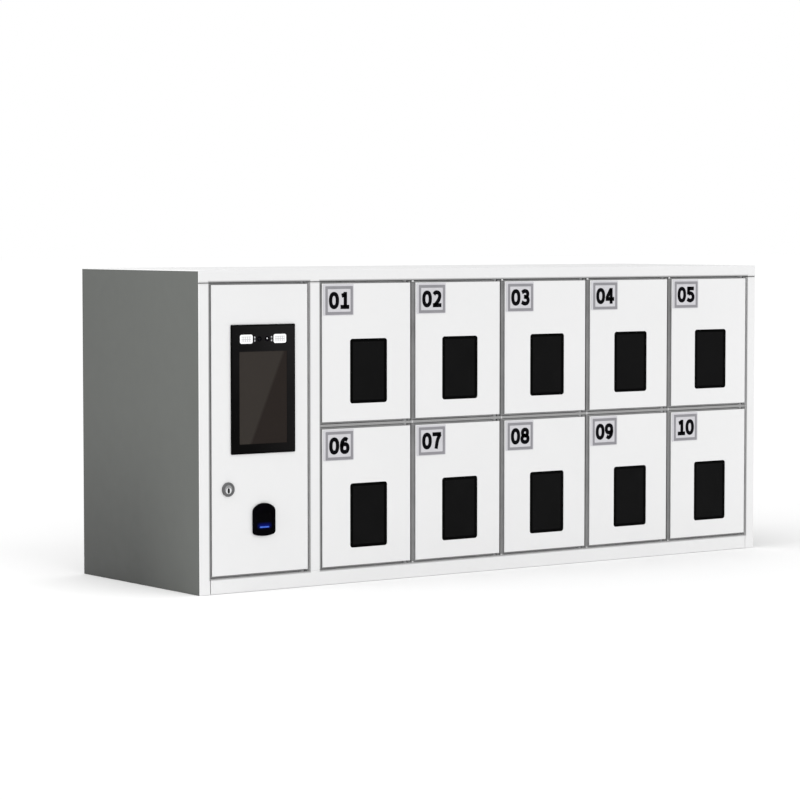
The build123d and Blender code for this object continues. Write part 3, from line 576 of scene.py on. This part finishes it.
def rounded(x0, z0, w, h, radius, steps=6):
    """A rectangle's outline in x and z with round corners, as a list of points."""
    points = []
    corners = ((x0 + w - radius, z0 + h - radius, 0), (x0 + radius, z0 + h - radius, 90),
               (x0 + radius, z0 + radius, 180), (x0 + w - radius, z0 + radius, 270))
    for cx, cz, start in corners:
        for step in range(steps + 1):
            angle = math.radians(start + 90 * step / steps)
            points.append((cx + radius * math.cos(angle), cz + radius * math.sin(angle)))
    return points


def bridge(bm, *loops):
    """Walls between closed loops of the same number of points, each a list of vectors."""
    rows = [[bm.verts.new(p) for p in loop] for loop in loops]
    count = len(rows[0])
    for first, second in zip(rows, rows[1:]):
        for i in range(count):
            j = (i + 1) % count
            bm.faces.new((first[i], first[j], second[j], second[i]))
    return rows


def flat_ring(bm, outer, inner, y_front, y_back, ease):
    """A flat ring standing on y_back whose two front edges are eased."""
    def at(points, y):
        return [Vector((x, y, z)) for x, z in points]

    def between(a, b, t):
        return [(x0 + (x1 - x0) * t, z0 + (z1 - z0) * t) for (x0, z0), (x1, z1) in zip(a, b)]

    rows = bridge(bm, at(outer, y_back), at(outer, y_front + ease),
                  at(between(outer, inner, 0.08), y_front), at(between(outer, inner, 0.92), y_front),
                  at(inner, y_front + ease), at(inner, y_back))
    for i in range(len(outer)):
        j = (i + 1) % len(outer)
        bm.faces.new((rows[-1][i], rows[-1][j], rows[0][j], rows[0][i]))


def lathe(bm, x, z, profile, steps=40):
    """Turns a profile of (radius, y) about the line through (x, z) along Y, and closes its ends."""
    loops = []
    for radius, y in profile:
        loops.append([Vector((x + radius * math.cos(a), y, z + radius * math.sin(a)))
                      for a in (2 * math.pi * i / steps for i in range(steps))])
    rows = bridge(bm, *loops)
    bm.faces.new(rows[0])
    bm.faces.new(rows[-1])


def raised(bm, x0, z0, w, h, radius, y_wall, y_face, ease=0.3 * MM, inset=None, steps=4):
    """A rounded block that stands on the plane y_wall and has an eased face at y_face.

    ease is the depth of the easing, and inset its width where that isn't the same."""
    rise = math.copysign(ease, y_face - y_wall)
    inset = inset or ease
    outline = rounded(x0, z0, w, h, radius, steps)
    crown = rounded(x0 + inset, z0 + inset, w - 2 * inset, h - 2 * inset,
                    max(radius - inset, 0.04 * MM), steps)
    rows = bridge(bm, [Vector((x, y_wall, z)) for x, z in outline],
                  [Vector((x, y_face - rise, z)) for x, z in outline],
                  [Vector((x, y_face, z)) for x, z in crown])
    bm.faces.new(rows[0])
    bm.faces.new(rows[-1])


def screw(bm, x, z, y_wall, radius, out):
    """A round screw head with a socket. out is 1 where it faces +Y and -1 where it faces -Y."""
    steps = ((1.0, 0.0), (1.0, 0.25), (0.82, 0.44), (0.45, 0.48), (0.42, 0.16))
    lathe(bm, x, z, [(radius * r, y_wall + out * radius * d) for r, d in steps], steps=24)


def header(rim, pins, x0, z0, w, h, y_wall, y_face, count):
    """A plug header: a rim round a row of upright contacts, which are square in section."""
    wall, square = 1.2 * MM, 0.7 * MM
    rise = y_face - y_wall
    inner = rounded(x0 + wall, z0 + wall, w - 2 * wall, h - 2 * wall, 0.4 * MM)
    flat_ring(rim, rounded(x0, z0, w, h, 0.8 * MM), inner, y_face, y_wall, -math.copysign(0.3 * MM, rise))
    for n in range(count):
        x = x0 + w * (n + 1) / (count + 1)
        raised(pins, x - square / 2, z0 + (h - square) / 2, square, square, 0.1 * MM,
               y_wall, y_wall + 0.7 * rise, 0.15 * MM)


# ------------------------------------------------------------------ door numbers
def curve_through(points, parts=7):
    """A smooth line through points (Catmull-Rom)."""
    last = len(points) - 1
    line = []
    for i in range(last):
        near = [points[min(max(i + k, 0), last)] for k in (-1, 0, 1, 2)]
        for step in range(parts):
            t = step / parts
            weights = (-t + 2 * t**2 - t**3, 2 - 5 * t**2 + 3 * t**3, t + 4 * t**2 - 3 * t**3, t**3 - t**2)
            line.append(tuple(sum(w * p[k] for w, p in zip(weights, near)) / 2 for k in (0, 1)))
    return line + [points[-1]]


def oval(cx, cz, rx, rz, power=2.3, steps=36):
    """A superellipse as a list of points: an ellipse at power 2, and squarer above it."""
    line = []
    for i in range(steps):
        a = 2 * math.pi * i / steps
        c, s = math.cos(a), math.sin(a)
        line.append((cx + rx * math.copysign(abs(c) ** (2 / power), c),
                     cz + rz * math.copysign(abs(s) ** (2 / power), s)))
    return line


# Each digit is the centre lines of its strokes in a box one wide and one high. A closed stroke's
# ends meet.
NINE_TAIL = [(0.09, 0.11), (0.45, 0.0), (0.86, 0.24), (0.97, 0.62)]
SIX_TAIL = [(1 - x, 1 - z) for x, z in NINE_TAIL]
TWO_NECK = [(0.03, 0.84), (0.22, 0.97), (0.50, 1.0), (0.82, 0.92), (0.93, 0.72), (0.80, 0.46), (0.45, 0.17),
            (0.10, 0.0)]
THREE_TOP = [(-0.04, 0.88), (0.38, 1.0), (0.78, 0.93), (0.90, 0.75), (0.74, 0.57), (0.28, 0.54)]
THREE_FOOT = [(0.28, 0.54), (0.78, 0.48), (0.97, 0.27), (0.80, 0.06), (0.38, 0.0), (-0.08, 0.12)]
FIVE_BOWL = [(0.12, 0.53), (0.45, 0.61), (0.80, 0.53), (0.97, 0.30), (0.80, 0.07), (0.38, 0.0),
             (-0.08, 0.12)]
OPEN_STROKES = {
    "1": [[(0.10, 0.85), (0.40, 0.91), (0.64, 1.0)], [(0.64, 1.14), (0.64, 0.0)],
          [(-0.08, 0.0), (1.22, 0.0)]],
    "2": [curve_through(TWO_NECK), [(-0.14, 0.0), (1.20, 0.0)]],
    "3": [curve_through(THREE_TOP), curve_through(THREE_FOOT)],
    "4": [[(0.66, 1.02), (-0.02, 0.30)], [(-0.20, 0.25), (1.26, 0.25)], [(0.74, 1.14), (0.74, -0.14)]],
    "5": [[(1.10, 1.0), (0.08, 1.0)], [(0.16, 1.14), (0.12, 0.50)], curve_through(FIVE_BOWL)],
    "6": [curve_through(SIX_TAIL)],
    "7": [[(-0.18, 1.0), (1.16, 1.0)], curve_through([(1.02, 1.0), (0.60, 0.52), (0.38, -0.14)])],
    "9": [curve_through(NINE_TAIL)],
}
CLOSED_STROKES = {
    "0": [oval(0.5, 0.5, 0.5, 0.5)],
    "6": [oval(0.53, 0.30, 0.46, 0.30)],
    "8": [oval(0.5, 0.76, 0.41, 0.24), oval(0.5, 0.26, 0.49, 0.26)],
    "9": [oval(0.47, 0.70, 0.46, 0.30)],
}
DIGIT_WIDTH, DIGIT_HEIGHT, DIGIT_PITCH, STROKE = 16.4 * MM, 23.0 * MM, 16.8 * MM, 5.5 * MM


def stroke(bm, line, closed, y_front, y_back):
    """A flat bar of even width along a line of (x, z) points."""
    left, right = [], []
    for i, (x, z) in enumerate(line):
        before = line[i - 1] if closed or i else line[i]
        after = line[(i + 1) % len(line)] if closed or i < len(line) - 1 else line[i]
        along = Vector((after[0] - before[0], after[1] - before[1])).normalized() * STROKE / 2
        left.append((x - along.y, z + along.x))
        right.append((x + along.y, z - along.x))
    rows = [[bm.verts.new((x, y, z)) for x, z in side]
            for side, y in ((left, y_back), (left, y_front), (right, y_front), (right, y_back))]
    count = len(line)
    for k in range(4):
        first, second = rows[k], rows[(k + 1) % 4]
        for i in range(count if closed else count - 1):
            j = (i + 1) % count
            bm.faces.new((first[i], first[j], second[j], second[i]))
    if not closed:
        bm.faces.new([row[0] for row in rows])
        bm.faces.new([row[-1] for row in reversed(rows)])


def number(text, x_mid, z_mid):
    """The digits of a door's number as one mesh."""
    bm = bmesh.new()
    w, h = DIGIT_WIDTH - STROKE, DIGIT_HEIGHT - STROKE
    for place, digit in enumerate(text):
        x0 = x_mid + (place - (len(text) - 1) / 2) * DIGIT_PITCH - w / 2
        z0 = z_mid - h / 2
        for strokes, closed in ((CLOSED_STROKES, True), (OPEN_STROKES, False)):
            for line in strokes.get(digit, ()):
                line = [(x0 + u * w, z0 + v * h) for u, v in line]
                stroke(bm, line, closed, PLATE_FRONT - PRINT, PLATE_FRONT)
    return bm


# The printed frame on each number plate, and its place from the door's upper left corner
BORDER_LEFT, BORDER_TOP = 4.7 * MM, 3.5 * MM
BORDER_WIDTH, BORDER_HEIGHT, BORDER_LINE = 44.6 * MM, 38.1 * MM, 3.9 * MM

for number_text in DOORS:
    door_low, door_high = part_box("door_" + number_text)
    body = "door_" + number_text
    x0, z0 = door_low.x + BORDER_LEFT, door_high.z - BORDER_TOP - BORDER_HEIGHT
    digits = number(number_text, x0 + BORDER_WIDTH / 2, z0 + BORDER_HEIGHT / 2)
    piece("number_" + number_text, digits, black_ink, body)
    inner = rounded(x0 + BORDER_LINE, z0 + BORDER_LINE, BORDER_WIDTH - 2 * BORDER_LINE,
                    BORDER_HEIGHT - 2 * BORDER_LINE, 0.8 * MM)
    border = bmesh.new()
    flat_ring(border, rounded(x0, z0, BORDER_WIDTH, BORDER_HEIGHT, 1.0 * MM), inner,
              PLATE_FRONT - PRINT, PLATE_FRONT, PRINT / 2)
    piece("number_border_" + number_text, border, border_foil, body)

# ------------------------------------------------------------------ rubber seals round the doors, dark grey as painted shade for the gaps
# Each point is how far it reaches from the door's edge and how deep it lies behind the front, in mm
GAP_SHADE_SEAL_PROFILE = [(0.0, 0.95), (0.22, 1.0), (0.3, 2.5), (2.25, 3.0), (2.25, 3.5), (0.4, 4.2), (0.3, 5.6),
                (0.0, 5.7)]
PIN_INSET, PIN_ROOM = 7.0 * MM, 4.2 * MM       # a hinge pin from the door's edge, and the lip's gap for it


def door_outline(low, high, reach):
    """A door's outline moved outwards by reach, but left in place beside the hinge pins."""
    pin = high.x - PIN_INSET
    stops = [low.x, pin - PIN_ROOM, pin - PIN_ROOM, pin + PIN_ROOM, pin + PIN_ROOM, high.x]
    near = min(reach, 0.3 * MM)
    reaches = [reach, reach, near, near, reach, reach]
    top = [(x, high.z + r) for x, r in zip(stops, reaches)]
    foot = [(x, low.z - r) for x, r in zip(stops, reaches)]
    for side in (top, foot):
        side[0] = (side[0][0] - reach, side[0][1])
        side[-1] = (side[-1][0] + reach, side[-1][1])
    return top + foot[::-1]


for door in ["control_door"] + ["door_" + n for n in DOORS]:
    low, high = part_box(door)
    shade_seal = bmesh.new()
    loops = [[Vector((x, FRONT + depth * MM, z)) for x, z in door_outline(low, high, reach * MM)]
             for reach, depth in GAP_SHADE_SEAL_PROFILE]
    bridge(shade_seal, *loops, loops[0])
    bmesh.ops.remove_doubles(shade_seal, verts=shade_seal.verts, dist=1e-7)
    piece(door + "_gap_shade_seal", shade_seal, gap_shade_rubber, door)

# ------------------------------------------------------------------ small plates at the dividers' ends
TAB_WIDTH, TAB_DROP, TAB_RISE, JOINT_HEIGHT = 2.6 * MM, 1.9 * MM, 1.2 * MM, 3.3 * MM
RAIL_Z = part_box("door_01")[1].z + DOOR_GAP.z
FLOOR_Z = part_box("door_06")[0].z - DOOR_GAP.z
SHELF_Z = (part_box("door_01")[0].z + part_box("door_06")[1].z) / 2
tabs, joints = bmesh.new(), bmesh.new()
for left, right in zip(DOORS[:4], DOORS[1:5]):
    x_mid = (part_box("door_" + left)[1].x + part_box("door_" + right)[0].x) / 2
    x0 = x_mid - TAB_WIDTH / 2
    raised(tabs, x0, RAIL_Z - TAB_DROP, TAB_WIDTH, TAB_DROP, 0.5 * MM, HEM_FACE, FRONT + 0.3 * MM)
    raised(tabs, x0, FLOOR_Z, TAB_WIDTH, TAB_RISE, 0.5 * MM, HEM_FACE, FRONT + 0.3 * MM)
    raised(joints, x0, SHELF_Z - JOINT_HEIGHT / 2, TAB_WIDTH, JOINT_HEIGHT, 0.5 * MM,
           HEM_FACE, FRONT + 1.2 * MM)
piece("divider_tabs", tabs, white_paint, "cabinet")
# The crossing plates in mid grey: painted shade
piece("divider_joints", joints, crossing_shade_paint, "cabinet")

# ------------------------------------------------------------------ lock
PLUG_FACE = plug_low.y
DISC_WIDTH, DISC_HEIGHT, DISC_DROP = 8.2 * MM, 7.8 * MM, 1.6 * MM
KEY_WIDTH, KEY_HEIGHT, SLOT_WIDTH, SLOT_HEIGHT = 3.4 * MM, 7.0 * MM, 1.8 * MM, 6.2 * MM


def about_key(width, height):
    return oval(LOCK_X, LOCK_Z - DISC_DROP, width / 2, height / 2, power=2.4, steps=44)


disc, guide = bmesh.new(), bmesh.new()
flat_ring(disc, about_key(DISC_WIDTH, DISC_HEIGHT), about_key(KEY_WIDTH, KEY_HEIGHT),
          PLUG_FACE - 0.25 * MM, PLUG_FACE, 0.1 * MM)
flat_ring(guide, about_key(KEY_WIDTH, KEY_HEIGHT), about_key(SLOT_WIDTH, SLOT_HEIGHT),
          PLUG_FACE - 0.1 * MM, PLUG_FACE, 0.05 * MM)
piece("lock_keyway_disc", disc, bright_nickel, "lock_plug")
piece("lock_key_guide", guide, black_ink, "lock_plug")

# ------------------------------------------------------------------ reader's light bar
BAR_LENGTH, BAR_HEIGHT, BAR_RISE = 14.6 * MM, 1.8 * MM, 0.35 * MM
bar = bmesh.new()
raised(bar, READER_X - BAR_LENGTH / 2, BAR_Z - BAR_HEIGHT / 2, BAR_LENGTH, BAR_HEIGHT, 0.85 * MM,
       reader_low.y, reader_low.y - BAR_RISE, ease=0.15 * MM, inset=0.3 * MM, steps=6)
piece("reader_light_bar", bar, reader_light, "control_door")

# ------------------------------------------------------------------ terminal's cameras
# Each profile's points are a radius and a height before the camera's face, in millimetres
COLLAR = [(3.2, 0.0), (3.2, 0.25), (3.0, 0.4), (2.3, 0.4), (1.9, 0.05)]
DOME = [(1.9, 0.05), (1.75, 0.2), (1.35, 0.36), (0.8, 0.46), (0.25, 0.5)]
BRIGHT_DOT = [(0.95, 0.24), (0.95, 0.44), (0.7, 0.56), (0.3, 0.64)]
BRIGHT_DOT_UP = 0.5 * MM                  # the bright dot shows a little above its camera's middle
CAMERA_RADIUS = 3.4 * MM
cameras_low, cameras_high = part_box("terminal_cameras")
camera_z = (cameras_low.z + cameras_high.z) / 2


def before_camera(x, z, profile, steps=40):
    """A piece turned about a line through a camera."""
    bm = bmesh.new()
    lathe(bm, x, z, [(radius * MM, cameras_low.y - height * MM) for radius, height in profile], steps)
    return bm


for side, x in (("left", cameras_low.x + CAMERA_RADIUS), ("right", cameras_high.x - CAMERA_RADIUS)):
    collar, dome = before_camera(x, camera_z, COLLAR), before_camera(x, camera_z, DOME)
    piece(f"camera_collar_{side}", collar, reader_gloss, "control_door")
    piece(f"camera_dome_{side}", dome, lens, "control_door", smooth=True)
bright_dot = before_camera(cameras_high.x - CAMERA_RADIUS, camera_z + BRIGHT_DOT_UP, BRIGHT_DOT, steps=20)
piece("camera_bright_dot", bright_dot, bright_dot_white, "control_door", smooth=True)

# ------------------------------------------------------------------ back of the control door
house_low, house_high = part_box("terminal_housing")
read_low, read_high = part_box("fingerprint_housing")
HOUSE_X = (house_low.x + house_high.x) / 2
LOUVRE_COUNT, LOUVRE_FOOT = 11, 18.0 * MM
LOUVRE_LENGTH, LOUVRE_HEIGHT, LOUVRE_PITCH, LOUVRE_RISE = 52.0 * MM, 1.8 * MM, 4.2 * MM, 1.0 * MM
HOUSE_SCREW, HOUSE_SCREW_INSET = 2.8 * MM, 5.0 * MM
HOUSE_HEADER_Z, HOUSE_HEADER_HEIGHT, HOUSE_HEADER_RISE = house_low.z + 84.0 * MM, 8.0 * MM, 5.5 * MM
# The reader's body behind the door skin is 5 mm inside its face plate, and 10 mm inside it at the top
READER_SCREW, READER_SCREW_INSET, READER_SCREW_DROP = 1.7 * MM, 8.0 * MM, 13.5 * MM
READER_HEADER_UP, READER_HEADER_WIDTH, READER_HEADER_HEIGHT = 9.0 * MM, 14.0 * MM, 7.0 * MM
READER_HEADER_RISE = 4.0 * MM

louvres, screws, rims, pins = (bmesh.new() for _ in range(4))
for n in range(LOUVRE_COUNT):
    raised(louvres, HOUSE_X - LOUVRE_LENGTH / 2, house_low.z + (LOUVRE_FOOT + n * LOUVRE_PITCH),
           LOUVRE_LENGTH, LOUVRE_HEIGHT, LOUVRE_HEIGHT / 2.1, house_high.y, house_high.y + LOUVRE_RISE)
for x in (house_low.x + HOUSE_SCREW_INSET, house_high.x - HOUSE_SCREW_INSET):
    for z in (house_low.z + HOUSE_SCREW_INSET, house_high.z - HOUSE_SCREW_INSET):
        screw(screws, x, z, house_high.y, HOUSE_SCREW, 1)
for x, width, count in ((-24.0 * MM, 24.0 * MM, 8), (8.0 * MM, 14.0 * MM, 4)):
    header(rims, pins, HOUSE_X + x, HOUSE_HEADER_Z, width, HOUSE_HEADER_HEIGHT,
           house_high.y, house_high.y + HOUSE_HEADER_RISE, count)
for x in (read_low.x + READER_SCREW_INSET, read_high.x - READER_SCREW_INSET):
    screw(screws, x, read_high.z - READER_SCREW_DROP, read_high.y, READER_SCREW, 1)
header(rims, pins, READER_X - READER_HEADER_WIDTH / 2, read_low.z + READER_HEADER_UP, READER_HEADER_WIDTH,
       READER_HEADER_HEIGHT, read_high.y, read_high.y + READER_HEADER_RISE, 5)
piece("housing_louvres", louvres, black_plastic, "control_door")
piece("door_screws", screws, zinc_steel, "control_door")
piece("door_headers", rims, header_plastic, "control_door")
piece("door_header_pins", pins, bright_nickel, "control_door")

# ------------------------------------------------------------------ parts in the control bay
# All in millimetres. Each place is from the board's lower left corner, and each rise is before the board.
# Chips are (x, z, width, height), and capacitors are (x, z, radius, rise).
RELAYS = [(6 + 13.5 * column, 17 + 22 * row) for column in range(2) for row in range(5)]
RELAY_WIDTH, RELAY_LENGTH, RELAY_RISE = 11, 17, 9
CHIPS = [(42, 30, 10, 7), (60, 34, 7, 7), (78, 52, 6, 10), (78, 74, 6, 10), (44, 104, 12, 8),
         (64, 108, 8, 6)]
CHIP_GAP, CHIP_RISE, LEG_ROWS, LEG_REACH, LEG_SIZE = 0.3, 1.6, 4, 1.1, 0.5
CAPACITORS = [(50, 14, 4.0, 11), (60, 14, 4.0, 11), (70, 16, 3.2, 9), (84, 34, 4.0, 11), (84, 96, 3.2, 9),
              (84, 106, 3.2, 9)]
GROOVE_RISE = 2.2
BOARD_SCREW, BOARD_SCREW_INSET = 2.4, 5
# A row of screws on the power supply's terminal block, from the supply's upper left corner
TERMINAL_SCREW, TERMINAL_COUNT, TERMINAL_START, TERMINAL_PITCH, TERMINAL_DROP = 2.5, 7, 9, 13.3, 4
TERMINAL_DEPTH = 12

relays, chips, legs, sleeves, caps, screws = (bmesh.new() for _ in range(6))
for x, z in RELAYS:
    raised(relays, board_low.x + x * MM, board_low.z + z * MM, RELAY_WIDTH * MM, RELAY_LENGTH * MM,
           0.8 * MM, BOARD_FRONT, BOARD_FRONT - RELAY_RISE * MM, 0.5 * MM)
for x, z, wide, high in CHIPS:
    x0, z0 = board_low.x + x * MM, board_low.z + z * MM
    raised(chips, x0, z0, wide * MM, high * MM, 0.3 * MM,
           BOARD_FRONT - CHIP_GAP * MM, BOARD_FRONT - CHIP_RISE * MM, 0.2 * MM)
    for n in range(LEG_ROWS):
        z1 = z0 + (n + 0.8) * high / (LEG_ROWS + 1) * MM
        raised(legs, x0 - LEG_REACH * MM, z1, (wide + 2 * LEG_REACH) * MM, LEG_SIZE * MM, 0.1 * MM,
               BOARD_FRONT, BOARD_FRONT - LEG_SIZE * MM, 0.1 * MM)
for x, z, radius, tall in CAPACITORS:
    x, z, radius = board_low.x + x * MM, board_low.z + z * MM, radius * MM
    top, groove = BOARD_FRONT - tall * MM, BOARD_FRONT - GROOVE_RISE * MM
    sleeve = [(1.0, BOARD_FRONT), (1.0, groove), (0.9, groove - 0.5 * MM), (1.0, groove - 1.0 * MM),
              (1.0, top + 0.4 * MM), (0.86, top), (0.82, top + 0.25 * MM)]
    lid = [(0.81, top + 0.3 * MM), (0.81, top + 0.12 * MM), (0.5, top + 0.02 * MM)]
    for bm, profile in ((sleeves, sleeve), (caps, lid)):
        lathe(bm, x, z, [(radius * share, y) for share, y in profile], steps=24)
inset = BOARD_SCREW_INSET * MM
for x in (board_low.x + inset, board_high.x - inset):
    for z in (board_low.z + inset, board_high.z - inset):
        screw(screws, x, z, BOARD_FRONT, BOARD_SCREW * MM, -1)
for n in range(TERMINAL_COUNT):
    x = supply_low.x + (TERMINAL_START + TERMINAL_PITCH * n) * MM
    screw(screws, x, supply_high.z - TERMINAL_DROP * MM, supply_high.y - TERMINAL_DEPTH * MM,
          TERMINAL_SCREW * MM, -1)
piece("board_relays", relays, relay_plastic, "cabinet")
piece("board_chips", chips, black_plastic, "cabinet")
piece("board_chip_legs", legs, zinc_steel, "cabinet")
piece("board_capacitors", sleeves, cable_sheath, "cabinet")
piece("board_capacitor_tops", caps, zinc_steel, "cabinet")
piece("bay_screws", screws, zinc_steel, "cabinet")

# ------------------------------------------------------------------ ribbed covers on the latch cases
CASE_HEIGHT = 38.9 * MM
COVER_LENGTH, COVER_INSET, COVER_RISE = 28.0 * MM, 3.5 * MM, 0.6 * MM
COVER_BANDS = ((3.2 * MM, 17.6 * MM), (31.0 * MM, 5.6 * MM))   # (foot, height) below and above the slot
RIB_COUNT, RIB_FOOT, RIB_PITCH, RIB_INSET = 4, 5.6 * MM, 3.8 * MM, 3.0 * MM
cases_low, cases_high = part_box("latch_cases")
covers = bmesh.new()
for door in DOORS:
    # Drawn with x and y changed over, because these faces look along X
    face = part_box("door_" + door)[0].x + cases_high.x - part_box("door_05")[0].x
    foot = cases_low.z if int(door) > 5 else cases_high.z - CASE_HEIGHT
    y0 = cases_low.y + COVER_INSET
    for up, height in COVER_BANDS:
        raised(covers, y0, foot + up, COVER_LENGTH, height, 1.6 * MM, face, face + COVER_RISE)
    for n in range(RIB_COUNT):
        raised(covers, y0 + RIB_INSET, foot + (RIB_FOOT + n * RIB_PITCH), COVER_LENGTH - 2 * RIB_INSET,
               1.4 * MM, 0.6 * MM, face + 0.5 * MM, face + 1.2 * MM)
for vertex in covers.verts:
    vertex.co.x, vertex.co.y = vertex.co.y, vertex.co.x
piece("latch_covers", covers, latch_plastic, "cabinet")


# ------------------------------------------------------------------ studio
FLOOR_DROP = 0.3 * MM                # how far the floor lies under the cabinet


def floor():
    """A flat pale floor, so wide that its far edge melts into the background."""
    bm = bmesh.new()
    bmesh.ops.create_grid(bm, x_segments=40, y_segments=40, size=40.0)
    for vertex in bm.verts:
        vertex.co.z = -FLOOR_DROP
    mesh = bpy.data.meshes.new("floor")
    bm.to_mesh(mesh)
    bm.free()
    finish = Finish("floor_paper", (0.965, 0.965, 0.965), 0.9, Specular_IOR_Level=0.0)
    tone = finish.spread(finish.noise(3.0, 2.0), 0.0, 1.0)
    finish.colour(finish.blend(tone, (0.96, 0.96, 0.96), (0.97, 0.97, 0.97)))
    mesh.materials.append(finish.material)
    made = bpy.data.objects.new("floor", mesh)
    bpy.context.scene.collection.objects.link(made)


def area_light(name, place, target, width, height, power, glossy=True):
    """A soft rectangular light at place that faces target. It shows in reflections only where glossy."""
    data = bpy.data.lights.new(name, "AREA")
    data.shape, data.size, data.size_y, data.energy = "RECTANGLE", width, height, power
    made = bpy.data.objects.new(name, data)
    made.location = place
    made.rotation_euler = (Vector(target) - Vector(place)).to_track_quat("-Z", "Y").to_euler()
    made.visible_camera = False
    made.visible_glossy = glossy
    bpy.context.scene.collection.objects.link(made)


def sun_light(name, direction, strength, angle):
    """A far light whose rays run along direction, as wide as angle in degrees."""
    data = bpy.data.lights.new(name, "SUN")
    data.energy, data.angle = strength, math.radians(angle)
    made = bpy.data.objects.new(name, data)
    made.rotation_euler = Vector(direction).to_track_quat("-Z", "Y").to_euler()
    bpy.context.scene.collection.objects.link(made)


floor()
sun_light("key", (-0.25, 0.85, -0.55), 0.35, 50)
area_light("low_fill", (1.25, -1.0, 0.12), (0.40, -0.15, 0.10), 0.6, 0.2, 1.15, glossy=False)
area_light("side_fill", (-1.25, -0.14, 0.80), (-0.485, -0.05, 0.25), 0.4, 0.4, 3.0)

world = bpy.data.worlds.new("studio")
world.use_nodes = True
background = world.node_tree.nodes["Background"]
background.inputs["Color"].default_value = (1.0, 1.0, 1.0, 1.0)
background.inputs["Strength"].default_value = 1.0
scene = bpy.context.scene
scene.world = world
scene.view_settings.view_transform = "Standard"
scene.view_settings.look = "None"

# ------------------------------------------------------------------ camera
CAMERA_PLACE = (-2.4203, -3.2552, 0.4680)
CAMERA_YAW, CAMERA_PITCH = 0.6280, 0.0587      # turned to the right and down, in radians
camera_data = bpy.data.cameras.new("camera")
camera_data.lens, camera_data.sensor_width = 127.94, 36.0
camera_data.clip_end = 200.0
camera = bpy.data.objects.new("camera", camera_data)
camera.location = CAMERA_PLACE
camera.rotation_euler = (math.pi / 2 - CAMERA_PITCH, 0.0, -CAMERA_YAW)
scene.collection.objects.link(camera)
scene.camera = camera
